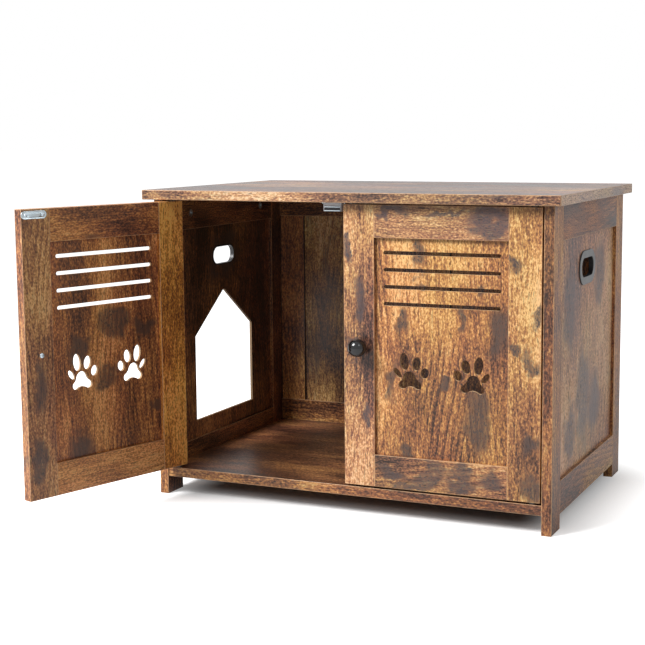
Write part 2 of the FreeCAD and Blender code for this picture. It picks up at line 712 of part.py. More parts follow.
def catch_magnets():
    magnets = Piece("catch_magnets", several=True)
    for side in (-1, 1):
        ends = along(side, catch_middle - S.catch_body_length / 2 + S.catch_wall,
                     catch_middle + S.catch_body_length / 2 - S.catch_wall)
        magnets.slab("XZ", catch_front, S.catch_body_depth - S.catch_wall,
                     rectangle(*ends, strike_mid - S.magnet_thickness / 2,
                               strike_mid + S.magnet_thickness / 2))


def catch_poles():
    """A steel plate over and under each magnet, reaching out to the strike plate."""
    poles = Piece("catch_pole_plates", several=True)
    for side in (-1, 1):
        ends = along(side, catch_middle - S.catch_body_length / 2 + S.catch_wall,
                     catch_middle + S.catch_body_length / 2 - S.catch_wall)
        for sign in (-1, 1):
            low, high = along(sign, S.magnet_thickness / 2, S.magnet_thickness / 2 + S.pole_thickness)
            poles.slab("XZ", catch_face, S.pole_reach + S.catch_body_depth - S.catch_wall,
                       rectangle(*ends, strike_mid + low, strike_mid + high))


# Shares of a pan head's radius: the height of its rim, its crown, and the crown's own radius.
PAN_RIM, PAN_CROWN, PAN_FLAT = 0.35, 0.7, 0.7


def screw_steps(length):
    """Half outline of a small pan-head screw, from the tip up to the crown of its head."""
    shank = S.small_screw_diameter / 2
    head = S.small_screw_head / 2
    return [(0, -length), (shank, shank - length), (shank, 0), (head, 0),
            (head, head * PAN_RIM), (head * PAN_FLAT, head * PAN_CROWN), (0, head * PAN_CROWN)]


def catch_screws():
    screws = Piece("catch_screws", several=True)
    flange_low = top_under - S.catch_flange_thickness
    up = [(radius, -place) for radius, place in reversed(screw_steps(S.small_screw_length))]
    for place_x, place_y in catch_screw_places():
        screws.turn("XZ", place_y, (place_x, flange_low), "V", up)


# ---------------------------------------------------------------- pivot pins
def pivot_pins(level):
    """Plain steel pins, pressed into a board and reaching into the door edges."""
    pins = Piece(f"{level}_pivot_pins", several=True)
    if level == "upper":
        low = door_high - S.pin_engagement + S.hole_spare
        length = S.pin_engagement * 2 + S.door_gap_top - S.hole_spare
    else:
        low = bottom_top - S.pin_engagement
        length = S.pin_engagement * 2 + S.door_gap_bottom - S.hole_spare
    pins.slab("XY", low, length, circles([(side * pivot_x, pivot_y) for side in (-1, 1)], S.pin_diameter))


# ---------------------------------------------------------------- doors
# A door is drawn about its pivot: the right one runs towards -X from it, the left one towards +X.
door_face = S.door_thickness / -2
door_panel_face = S.panel_thickness / -2
hinge_inside = S.door_stile_width - S.pivot_inset
free_inside = free_edge - S.door_stile_width


def reach_out(side, near, far):
    """Both ends of a stretch that runs from the pivot towards the door's free edge."""
    return along(-side, near, far)


def door_dowel_places():
    heights = dowel_heights(door_low, door_inside_low, S.door_dowel_pitch)
    heights += dowel_heights(door_inside_high, door_high, S.door_dowel_pitch)
    return heights


def door_stile(side, edge):
    """An upright of the door, grooved and bored on the edge towards the panel."""
    stile = Piece(f"{SIDE_NAME[side]}_door_{edge}_stile")
    near, far = (-S.pivot_inset, hinge_inside) if edge == "hinge" else (free_inside, free_edge)
    stile.slab("XZ", door_face, S.door_thickness,
               rectangle(*reach_out(side, near, far), door_low, door_high)).ease()
    if edge == "hinge":
        groove = reach_out(side, hinge_inside - S.groove_depth, hinge_inside)
        bore = between(-side, hinge_inside - S.dowel_length / 2 - S.hole_spare, hinge_inside)
    else:
        groove = reach_out(side, free_inside, free_inside + S.groove_depth)
        bore = between(-side, free_inside, free_inside + S.dowel_length / 2 + S.hole_spare)
    stile.cut("XZ", door_panel_face, S.panel_thickness,
              rectangle(*groove, door_inside_low - S.groove_depth, door_inside_high + S.groove_depth))
    stile.cut("YZ", *bore, circles([(0, height) for height in door_dowel_places()], S.dowel_diameter))
    if edge == "hinge":
        socket = S.pin_diameter + S.pin_running * 2 + S.sleeve_wall * 2
        for low in (door_low, door_high - S.pin_engagement):
            stile.cut("XY", low, S.pin_engagement, circles([(0, 0)], socket))
    else:
        stile.cut("XZ", door_face, S.door_thickness,
                  circles([(knob_place(side), door_mid)], S.knob_screw_diameter))
        depth = S.small_screw_length - S.strike_thickness - S.strike_boss
        stile.cut("XZ", -door_face - depth, depth, circles(strike_screw_places(side), S.small_screw_diameter))
    stile.hang(side)


def knob_place(side):
    return -side * (free_edge - S.knob_setting)


def strike_screw_places(side):
    middle = -side * (free_edge - S.strike_edge)
    return [(middle + end * S.strike_screw_pitch / 2, strike_mid) for end in (-1, 1)]


def door_rail(side, level):
    rail = Piece(f"{SIDE_NAME[side]}_door_{level}_rail")
    low, high = (door_inside_high, door_high) if level == "top" else (door_low, door_inside_low)
    ends = reach_out(side, hinge_inside, free_inside)
    rail.slab("XZ", door_face, S.door_thickness, rectangle(*ends, low, high)).ease()
    groove = (low, low + S.groove_depth) if level == "top" else (high - S.groove_depth, high)
    rail.cut("XZ", door_panel_face, S.panel_thickness, rectangle(*ends, *groove))
    heights = dowel_heights(low, high, S.door_dowel_pitch)
    holes = circles([(0, height) for height in heights], S.dowel_diameter)
    bore = S.dowel_length / 2 + S.hole_spare
    rail.cut("YZ", ends[0], bore, holes)
    rail.cut("YZ", ends[1] - bore, bore, holes)
    rail.hang(side)


# A paw print in shares of its own size: each toe's place, length, width and lean, then the circles
# of the pad, its crown above and its two lobes below, with hollow curves between them. A circle is
# its centre and its radius; the flank is the radius of the hollow curve from the crown to a lobe.
TOES = [(-0.45, 0.18, 0.40, 0.20, -39), (-0.21, 0.585, 0.60, 0.32, -8),
        (0.23, 0.53, 0.47, 0.31, 11), (0.52, 0.22, 0.37, 0.29, 18)]
PAD_CROWN = (-0.03, 0.025, 0.235)
PAD_LOBE = (0.275, -0.215, 0.14)
PAD_FLANK = 0.30
PAD_UNDERSIDE = (0, -0.59)


def flank_centre(lobe, side):
    """The centre of the hollow curve that touches the crown's and a lobe's circles from outside."""
    run, rise = lobe[0] - PAD_CROWN[0], lobe[1] - PAD_CROWN[1]
    distance = math.hypot(run, rise)
    to_crown, to_lobe = PAD_CROWN[2] + PAD_FLANK, lobe[2] + PAD_FLANK
    along_line = (to_crown ** 2 - to_lobe ** 2 + distance ** 2) / (2 * distance)
    off_line = side * math.sqrt(to_crown ** 2 - along_line ** 2)
    return (PAD_CROWN[0] + (run * along_line - rise * off_line) / distance,
            PAD_CROWN[1] + (rise * along_line + run * off_line) / distance)


def towards(circle, point):
    """Where a circle meets the line from its centre to a point: there two touching curves meet."""
    run, rise = point[0] - circle[0], point[1] - circle[1]
    share = circle[2] / math.hypot(run, rise)
    return circle[0] + run * share, circle[1] + rise * share


def pad_outline(middle_u, middle_v, hand):
    """The pad, from the right end of its hollow underside round by the crown."""
    right = PAD_LOBE
    left = (-PAD_LOBE[0], *PAD_LOBE[1:])
    right_flank, left_flank = flank_centre(right, 1), flank_centre(left, -1)

    def spot(point):
        return middle_u + S.paw_size * (point[0] * hand), middle_v + S.paw_size * point[1]

    return outline([(*spot(towards(right, PAD_UNDERSIDE)), *spot(right), hand),
                    (*spot(towards(right, right_flank)), *spot(right_flank), -hand),
                    (*spot(towards(PAD_CROWN, right_flank)), *spot(PAD_CROWN), hand),
                    (*spot(towards(PAD_CROWN, left_flank)), *spot(left_flank), -hand),
                    (*spot(towards(left, left_flank)), *spot(left), hand),
                    (*spot(towards(left, PAD_UNDERSIDE)), *spot(PAD_UNDERSIDE), -hand)])


def paw(middle_u, middle_v, hand):
    """Four toes and a pad; hand is 1 or, for its mirror image, -1."""
    toes = [ellipse(middle_u + S.paw_size * across * hand, middle_v + S.paw_size * up,
                    S.paw_size * length, S.paw_size * width, lean * hand)
            for across, up, length, width, lean in TOES]
    return [*toes, pad_outline(middle_u, middle_v, hand)]


def door_panel(side):
    """The thin board in the door's grooves, with four air slots above and two paw prints below."""
    panel = Piece(f"{SIDE_NAME[side]}_door_panel")
    ends = reach_out(side, hinge_inside - panel_bite, free_inside + panel_bite)
    panel.slab("XZ", door_panel_face, S.panel_thickness,
               rectangle(*ends, door_inside_low - panel_bite, door_inside_high + panel_bite))
    middle = -side * (hinge_inside + free_inside) / 2
    slots = [obround(middle, door_inside_high - S.slot_drop - S.slot_pitch * step,
                     S.slot_length, S.slot_opening) for step in range(int(plain(S.slot_count)))]
    panel.cut("XZ", door_panel_face, S.panel_thickness, slots)
    for hand in (1, -1):
        prints = paw(middle - hand * S.paw_spacing / 2, door_low + S.paw_height, hand)
        panel.cut("XZ", door_panel_face, S.panel_thickness, prints)
    panel.hang(side)


def door_dowels(side):
    dowels = Piece(f"{SIDE_NAME[side]}_door_dowels", several=True)
    places = circles([(0, height) for height in door_dowel_places()], S.dowel_diameter)
    for joint in (hinge_inside, free_inside):
        dowels.slab("YZ", *between(-side, joint - S.dowel_length / 2, joint + S.dowel_length / 2), places)
    dowels.hang(side)


def pivot_sleeves(side):
    """Nylon sleeves pressed into the ends of the hinge stile; their flanges fill the door gaps."""
    sleeves = Piece(f"{SIDE_NAME[side]}_pivot_sleeves", several=True)
    bore = S.pin_diameter / 2 + S.pin_running
    barrel = bore + S.sleeve_wall
    flange = barrel + S.sleeve_flange
    low_face = door_low - S.door_gap_bottom + S.sleeve_running
    sleeves.turn("XZ", 0, (0, 0), "V",
                 [(bore, low_face), (flange, low_face), (flange, door_low), (barrel, door_low),
                  (barrel, door_low + S.pin_engagement), (bore, door_low + S.pin_engagement)])
    high_face = door_high + S.door_gap_top - S.sleeve_running
    sleeves.turn("XZ", 0, (0, 0), "V",
                 [(bore, door_high - S.pin_engagement), (barrel, door_high - S.pin_engagement),
                  (barrel, door_high), (flange, door_high), (flange, high_face), (bore, high_face)])
    sleeves.hang(side)


def door_knob(side):
    """A turned ball on a short neck, bored for its screw."""
    knob = Piece(f"{SIDE_NAME[side]}_door_knob")
    ball = S.knob_diameter / 2
    neck = S.knob_neck_diameter / 2
    root = door_face - S.knob_neck
    sag = math.sqrt(plain(ball) ** 2 - plain(neck) ** 2) / plain(ball)
    centre = root - ball * sag
    bore = S.knob_screw_diameter / 2
    floor = door_face - S.knob_screw_grip - S.hole_spare
    knob.turn("YZ", knob_place(side), (0, door_mid), "H",
              [(door_face, bore), (door_face, neck), (root, neck, centre, 0, 1),
               (centre - ball, 0), (floor, 0), (floor, bore)])
    knob.hang(side)


def knob_screw(side):
    """Through the stile from behind, with a pan head on the inner face."""
    screw = Piece(f"{SIDE_NAME[side]}_knob_screw")
    shank = S.knob_screw_diameter / 2
    head = S.knob_screw_head / 2
    tip = door_face - S.knob_screw_grip
    back = -door_face
    crown = back + head * PAN_CROWN
    screw.turn("YZ", knob_place(side), (0, door_mid), "H",
               [(tip, 0), (crown, 0), (crown, head * PAN_FLAT), (back + head * PAN_RIM, head), (back, head),
                (back, shank), (tip, shank)])
    screw.hang(side)


def strike_plate(side):
    """A pressed plate on the door's inner face, its middle raised to meet the magnet."""
    plate = Piece(f"{SIDE_NAME[side]}_strike_plate")
    middle = -side * (free_edge - S.strike_edge)
    plate.slab("XZ", -door_face, S.strike_thickness,
               obround(middle, strike_mid, S.strike_length, S.strike_height))
    plate.slab("XZ", S.strike_thickness - door_face, S.strike_boss,
               obround(middle, strike_mid, S.strike_boss_length, S.strike_boss_height))
    plate.cut("XZ", -door_face, S.strike_thickness,
              circles(strike_screw_places(side), S.small_screw_diameter))
    plate.hang(side)


def strike_screws(side):
    screws = Piece(f"{SIDE_NAME[side]}_strike_screws", several=True)
    length = S.small_screw_length - S.strike_boss
    steps = [(place, radius) for radius, place in reversed(screw_steps(length))]
    for place_x, height in strike_screw_places(side):
        screws.turn("YZ", place_x, (S.strike_thickness - door_face, height), "H", steps)
    screws.hang(side)


# ---------------------------------------------------------------- build, check and write
def build():
    top_panel()
    bottom_panel()
    for side in (-1, 1):
        for end in (-1, 1):
            side_leg(side, end)
        for level in ("top", "bottom"):
            side_rail(side, level)
        side_panel(side)
        grip_liner(side)
    side_dowels()
    for name in ("left", "centre", "right"):
        back_stile(name)
    for level in ("top", "bottom"):
        back_rail(level)
    for side in (-1, 1):
        back_panel(side)
    back_dowels()
    top_cams()
    bottom_cams()
    top_cam_bolts()
    bottom_cam_bolts()
    for side in (-1, 1):
        catch_housing(side)
    catch_magnets()
    catch_poles()
    catch_screws()
    pivot_pins("upper")
    pivot_pins("lower")
    for side in (-1, 1):
        for edge in ("hinge", "free"):
            door_stile(side, edge)
        for level in ("top", "bottom"):
            door_rail(side, level)
        door_panel(side)
        door_dowels(side)
        pivot_sleeves(side)
        door_knob(side)
        knob_screw(side)
        strike_plate(side)
        strike_screws(side)


def check_and_write():
    doc.recompute()
    for item in doc.Objects:
        if "Invalid" in item.State or "Error" in item.State:
            raise RuntimeError(f"{item.Name} ({item.Label}) did not build: {item.State}")
    os.makedirs("parts", exist_ok=True)
    for piece in made:
        shape = piece.body.Shape
        if shape.isNull() or not shape.isValid() or not shape.Solids:
            raise RuntimeError(f"{piece.name()} has no sound solid")
        shape.exportStep(f"parts/{piece.name()}.step")
        print(f"{piece.name()}: {len(shape.Solids)} solid(s), {shape.Volume / 1000:.1f} cm3")


build()
check_and_write()
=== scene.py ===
# %% [markdown]
# # A rustic litter box cabinet
#
# This notebook dresses a cabinet whose boards, fittings and joints were already built as solids. Here
# they get their looks: wood-print board with pale edges, partly rubbed print and partly a painted
# highlight, black mouldings and zinc fittings. A few small pieces, such as the knobs and screws, are
# modelled again in finer form.
#
# The first cell loads the solids as a fixed frame. Everything is in metres, +Z is up and the doors are
# at the front, towards -Y. The box round the cabinet is kept, because nothing may outgrow it.

# %% Load the frame
import json
import math
import random

import bmesh
import bpy
from mathutils import Matrix, Vector

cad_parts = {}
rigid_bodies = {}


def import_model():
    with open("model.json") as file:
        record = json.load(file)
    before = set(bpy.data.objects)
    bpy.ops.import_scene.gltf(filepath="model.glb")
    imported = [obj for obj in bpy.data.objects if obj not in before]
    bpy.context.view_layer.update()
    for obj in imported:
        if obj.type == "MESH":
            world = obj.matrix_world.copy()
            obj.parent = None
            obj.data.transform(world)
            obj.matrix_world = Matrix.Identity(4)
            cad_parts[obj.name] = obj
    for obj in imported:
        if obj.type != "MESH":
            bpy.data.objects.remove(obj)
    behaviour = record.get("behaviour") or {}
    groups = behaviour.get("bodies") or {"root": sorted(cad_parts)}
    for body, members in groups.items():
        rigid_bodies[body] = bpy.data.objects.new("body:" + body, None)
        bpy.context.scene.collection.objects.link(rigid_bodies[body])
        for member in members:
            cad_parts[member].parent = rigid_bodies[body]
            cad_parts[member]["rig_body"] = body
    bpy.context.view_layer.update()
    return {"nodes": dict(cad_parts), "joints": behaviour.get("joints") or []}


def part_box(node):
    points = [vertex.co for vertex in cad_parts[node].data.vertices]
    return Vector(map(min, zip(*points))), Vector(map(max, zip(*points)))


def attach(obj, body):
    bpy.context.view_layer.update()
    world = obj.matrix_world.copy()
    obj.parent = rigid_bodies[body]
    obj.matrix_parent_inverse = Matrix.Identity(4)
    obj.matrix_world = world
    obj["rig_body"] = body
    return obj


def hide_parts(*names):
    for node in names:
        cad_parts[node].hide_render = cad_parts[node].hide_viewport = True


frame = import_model()
NODES = frame["nodes"]

# %% [markdown]
# ## The camera
#
# The photograph was taken with a long lens from the right, a little above the top board. Its middle
# isn't quite the lens's middle, as if it had been cropped, which in Blender is a camera with a shift. A
# larger shift would lie closer on the photograph, but would push the cabinet out of the frame when it is
# seen from other sides. The camera is made from its place, its yaw, pitch and roll, and a focal length in
# pixels of a 645 pixel frame.

# %% Camera
IMAGE_SIZE = 645
FOCAL_PIXELS = 1388.84
LENS_CENTRE = (350.0, 305.0)
CAMERA_PLACE = Vector((0.9990, -2.4822, 0.6863))
YAW, PITCH, ROLL = (math.radians(a) for a in (23.801, 7.141, -0.357))
SENSOR = 36.0


def camera_axes():
    """The camera's own right, up and forward directions."""
    forward = Vector((-math.sin(YAW) * math.cos(PITCH), math.cos(YAW) * math.cos(PITCH),
                      -math.sin(PITCH)))
    right = Vector((math.cos(YAW), math.sin(YAW), 0))
    up = right.cross(forward)
    return (right * math.cos(ROLL) + up * math.sin(ROLL),
            up * math.cos(ROLL) - right * math.sin(ROLL), forward)


right, up, forward = camera_axes()
lens = bpy.data.cameras.new("photo_lens")
lens.sensor_width = SENSOR
lens.lens = FOCAL_PIXELS * SENSOR / IMAGE_SIZE
lens.shift_x = (IMAGE_SIZE / 2 - LENS_CENTRE[0]) / IMAGE_SIZE
lens.shift_y = (LENS_CENTRE[1] - IMAGE_SIZE / 2) / IMAGE_SIZE
camera = bpy.data.objects.new("photo_camera", lens)
camera.matrix_world = Matrix((
    (right.x, up.x, -forward.x, CAMERA_PLACE.x), (right.y, up.y, -forward.y, CAMERA_PLACE.y),
    (right.z, up.z, -forward.z, CAMERA_PLACE.z), (0, 0, 0, 1)))
bpy.context.scene.collection.objects.link(camera)
bpy.context.scene.camera = camera
print("lens", round(lens.lens, 2), "shift", round(lens.shift_x, 3), round(lens.shift_y, 3))

# %% [markdown]
# ## Helpers that wire nodes
#
# A material is a tree of nodes. These helpers add one node, set its inputs from numbers or from other
# nodes' outputs, and give back the output that is wanted, so that a material reads like a sum.

# %% Node helpers
COLOUR_A, COLOUR_B, COLOUR_OUT = 6, 7, 2
VECTOR_A, VECTOR_B, VECTOR_OUT = 4, 5, 1


def put(socket, value, tree):
    """Feed an input from another node's output, or set it to a number or colour."""
    if isinstance(value, bpy.types.NodeSocket):
        tree.links.new(value, socket)
    elif value is not None:
        socket.default_value = value


def node(tree, kind, inputs=(), **settings):
    """Add a shader node, with its settings and its inputs."""
    made = tree.nodes.new(f"ShaderNode{kind}")
    for name, value in settings.items():
        setattr(made, name, value)
    for key, value in dict(inputs).items():
        put(made.inputs[key], value, tree)
    return made


def maths(tree, operation, a, b=None, c=None, clamp=False):
    """A sum on numbers."""
    made = node(tree, "Math", operation=operation, use_clamp=clamp)
    for socket, value in zip(made.inputs, (a, b, c)):
        put(socket, value, tree)
    return made.outputs[0]


def vectors(tree, operation, a, b=None):
    """A sum on vectors; a length comes out as a number."""
    made = node(tree, "VectorMath", operation=operation)
    for socket, value in zip(made.inputs, (a, b)):
        put(socket, value, tree)
    return made.outputs["Value" if operation == "LENGTH" else "Vector"]


def split(tree, vector):
    """A vector's three numbers."""
    return node(tree, "SeparateXYZ", {"Vector": vector}).outputs


def join(tree, x, y, z):
    """Three numbers as a vector."""
    return node(tree, "CombineXYZ", {"X": x, "Y": y, "Z": z}).outputs[0]


def between(tree, value, low, high):
    """A smooth step: 0 at low, 1 at high. It runs down where low is the larger."""
    return node(tree, "MapRange", {"Value": value, "From Min": low, "From Max": high},
                interpolation_type="SMOOTHSTEP").outputs["Result"]


def noise(tree, vector, scale, detail=2.0, roughness=0.5, distortion=0.0, colour=False):
    """Noise about 0.5, or with colour three such noises in one."""
    made = node(tree, "TexNoise", {"Vector": vector, "Scale": scale, "Detail": detail,
                                   "Roughness": roughness, "Distortion": distortion})
    return made.outputs["Color" if colour else "Fac"]


def blend(tree, factor, a, b, blend_type="MIX"):
    """Mix two colours. The Mix node keeps its colours on sockets with numbers of their own."""
    made = node(tree, "Mix", {"Factor": factor, COLOUR_A: a, COLOUR_B: b},
                data_type="RGBA", blend_type=blend_type)
    return made.outputs[COLOUR_OUT]


def choose(tree, factor, a, b):
    """Mix two vectors."""
    made = node(tree, "Mix", {"Factor": factor, VECTOR_A: a, VECTOR_B: b}, data_type="VECTOR")
    return made.outputs[VECTOR_OUT]


def centred(tree, value, gain, base=0.0):
    """A noise that swings about nought, times its gain, added to what came before."""
    return maths(tree, "MULTIPLY_ADD", maths(tree, "SUBTRACT", value, 0.5), gain, base)


def ramp(tree, value, stops):
    """A colour ramp from (place, colour) pairs."""
    made = node(tree, "ValToRGB", {"Fac": value})
    points = made.color_ramp.elements
    while len(points) < len(stops):
        points.new(0.5)
    for point, (place, colour) in zip(points, stops):
        point.position, point.color = place, (*colour, 1)
    return made.outputs["Color"]


def shader_group(name, inputs, outputs):
    """An empty node group with its named sockets; gives the tree, its inputs and its output node."""
    tree = bpy.data.node_groups.new(name, "ShaderNodeTree")
    for direction, sockets in (("INPUT", inputs), ("OUTPUT", outputs)):
        for socket_name, kind, default in sockets:
            made = tree.interface.new_socket(name=socket_name, in_out=direction,
                                             socket_type=f"NodeSocket{kind}")
            if default is not None:
                made.default_value = default
    return tree, tree.nodes.new("NodeGroupInput").outputs, tree.nodes.new("NodeGroupOutput").inputs


def use(tree, group, inputs):
    """Place a group in a material with its own values."""
    made = tree.nodes.new("ShaderNodeGroup")
    made.node_tree = group
    for key, value in inputs.items():
        put(made.inputs[key], value, tree)
    return made.outputs


print("helpers ready")

# %% [markdown]
# ## Worn edges, with a painted highlight
#
# Printed board is a paper picture of wood glued on chipboard. Where two faces meet, the paper is rubbed
# thin and shows as a pale, broken line. The same pale line is also a painted highlight, standing in for
# the light that an eased edge would catch. A board is a box, so the distance to its nearest edge needs no
# sharp trick: of a point's three distances to the box's faces one is nought, and the middle one is the
# distance to the edge. A little noise breaks the line up.

# %% Edge wear and painted highlight group
RAGGED_SCALE = 160.0
RAGGED_GAIN, RAGGED_START = 4.0, -2.4


def make_edge_wear_and_highlight():
    tree, given, out = shader_group(
        "edge wear and highlight",
        [("Position", "Vector", None), ("Low", "Vector", None), ("High", "Vector", None),
         ("Width", "Float", 0.0012), ("Broken", "Float", 0.6)],
        [("Worn", "Float", None)])
    gaps = vectors(tree, "ABSOLUTE", vectors(
        tree, "MINIMUM", vectors(tree, "SUBTRACT", given["Position"], given["Low"]),
        vectors(tree, "SUBTRACT", given["High"], given["Position"])))
    a, b, c = split(tree, gaps)
    middle = maths(tree, "MAXIMUM", maths(tree, "MINIMUM", a, b),
                   maths(tree, "MINIMUM", maths(tree, "MAXIMUM", a, b), c))
    ragged = noise(tree, given["Position"], RAGGED_SCALE, 3.0, 0.6)
    swing = maths(tree, "MULTIPLY", given["Broken"],
                  maths(tree, "MULTIPLY_ADD", ragged, RAGGED_GAIN, RAGGED_START))
    reach = maths(tree, "MULTIPLY", given["Width"], maths(tree, "ADD", 1.0, swing))
    worn = maths(tree, "SUBTRACT", 1.0, between(tree, middle, 0.0, reach), clamp=True)
    tree.links.new(worn, out["Worn"])
    return tree


EDGE_WEAR_AND_HIGHLIGHT = make_edge_wear_and_highlight()
print(EDGE_WEAR_AND_HIGHLIGHT.name, [s.name for s in EDGE_WEAR_AND_HIGHLIGHT.interface.items_tree])

# %% [markdown]
# ## Smoke marks
#
# The print has charcoal patches, as if the planks had been near a fire. Their general spread can come
# from noise, but the patches that catch the eye are listed one by one, each with a middle and a size.
# The group bends the position with noise first, so an ellipse turns into a torn stain.

# %% Smoke mark group
BEND_SCALE = 26.0
BEND_REACH = (0.05, 0.05, 0.10)
STAIN_ENDS, STAIN_FULL = 1.6, 0.3


def make_smoke_mark():
    tree, given, out = shader_group(
        "smoke mark",
        [("Position", "Vector", None), ("Centre", "Vector", None), ("Size", "Vector", None)],
        [("Stain", "Float", None)])
    bend = vectors(tree, "SUBTRACT",
                   noise(tree, given["Position"], BEND_SCALE, 3.0, 0.55, colour=True), (0.5, 0.5, 0.5))
    bent = vectors(tree, "ADD", given["Position"], vectors(tree, "MULTIPLY", bend, BEND_REACH))
    place = vectors(tree, "DIVIDE", vectors(tree, "SUBTRACT", bent, given["Centre"]), given["Size"])
    distance = vectors(tree, "LENGTH", place)
    tree.links.new(between(tree, distance, STAIN_ENDS, STAIN_FULL), out["Stain"])
    return tree


SMOKE_MARK = make_smoke_mark()
print(SMOKE_MARK.name, [s.name for s in SMOKE_MARK.interface.items_tree])

# %% [markdown]
# ## The wood print
#
# One picture of old planks covers every board. It is built in layers, as a printer would: narrow strips
# of different tone, growth rings, fine fibres and speckle are added up to one number, and a colour ramp
# turns that number into umber, brown, amber or gold. The rings are nested V shapes, as on a plank sawn
# beside the heart of a trunk: the distance from the heart line grows to both sides, the height is taken
# off it, and each whole step is one ring, dark at its outer edge. Charcoal clouds and dark pores go over
# all that. The position comes in with the grain along Z, so the same group serves upright and level
# boards, and a seed shifts each board to its own part of the print.

# %% Wood print group
WOOD_TONES = [(0.0, (0.026, 0.013, 0.008)), (0.2, (0.090, 0.042, 0.023)),
              (0.4, (0.215, 0.095, 0.042)), (0.6, (0.395, 0.185, 0.066)),
              (0.8, (0.620, 0.335, 0.105)), (1.0, (0.880, 0.590, 0.240))]
MIDDLE_TONE = 0.56
CHARCOAL = (0.074, 0.050, 0.041, 1)
PORE = (0.024, 0.012, 0.007, 1)
GOLD = (0.880, 0.570, 0.220, 1)
RUSSET = (1.06, 0.88, 0.96, 1)
AMBER = (1.05, 0.98, 0.94, 1)
HEART_SPACING, HEART_SWAY = 0.085, 0.05
RING_WIDTH, RING_SWAY, RING_SLOPE = 0.0105, 2.2, 0.13
RING_POINT = 4e-5
RING_PALE_UNTIL = 0.30
RING_DEPTH = -0.34
GRAIN_SWAY = 0.10
STRIPS_PER_METRE, STRIP_RAGGED, STRIP_STRIDE, STRIP_LENGTH = 24.0, 3.0, 7.31, 3.2
PORE_DEPTH = 0.65
# Each layer's noise: grains per metre across and along, detail, roughness, distortion
LAYERS = {
    "sway": (6.0, 1.7, 2.0, 0.5, 0.0), "ragged": (16.0, 0.6, 0.0, 0.5, 0.0),
    "broad": (7.0, 2.6, 1.0, 0.4, 0.0), "zones": (12.0, 5.0, 2.0, 0.5, 0.4),
    "fibres": (220.0, 9.0, 2.0, 0.6, 0.0), "hairs": (430.0, 20.0, 1.0, 0.5, 0.0),
    "speckle": (380.0, 210.0, 1.0, 0.6, 0.0), "ringed": (7.0, 2.4, 1.0, 0.5, 0.0),
    "drift": (9.0, 3.0, 2.0, 0.5, 0.0), "cloud": (17.0, 7.0, 5.0, 0.6, 0.7),
    "pores": (520.0, 60.0, 1.0, 0.5, 0.0), "flecks": (330.0, 50.0, 2.0, 0.6, 0.0),
}
# How much a layer swings the tone of the wood, and how much it swings the charcoal clouds
TONE_GAINS = {"strips": 0.55, "broad": 0.9, "zones": 1.3, "fibres": 0.5, "hairs": 0.6, "speckle": 1.2}
CLOUD_GAINS = {"hairs": 0.4, "strips": 0.30}
STAIN_HAIRS, STAIN_ZONES, SMOKE_SPECKLE, SMOKE_STRENGTH = 1.1, 1.2, 1.6, 0.80
CLOUD_START, CLOUD_START_BY_SMOKE, CLOUD_RISE = 0.76, -0.30, 0.24
SHINE, SHINE_IN_SMOKE = 0.34, -0.25


def ring_lines(tree, across, along, sway):
    """Nested V shapes, pale at their inner edge and dark at the outer one."""
    off = maths(tree, "PINGPONG", centred(tree, sway, HEART_SWAY, across), HEART_SPACING)
    rounded = maths(tree, "SQRT", maths(tree, "MULTIPLY_ADD", off, off, RING_POINT))
    far = maths(tree, "MULTIPLY_ADD", along, -RING_SLOPE, rounded)
    ring = maths(tree, "FRACT", centred(tree, sway, RING_SWAY, maths(tree, "DIVIDE", far, RING_WIDTH)))
    return between(tree, ring, RING_PALE_UNTIL, 1.0)


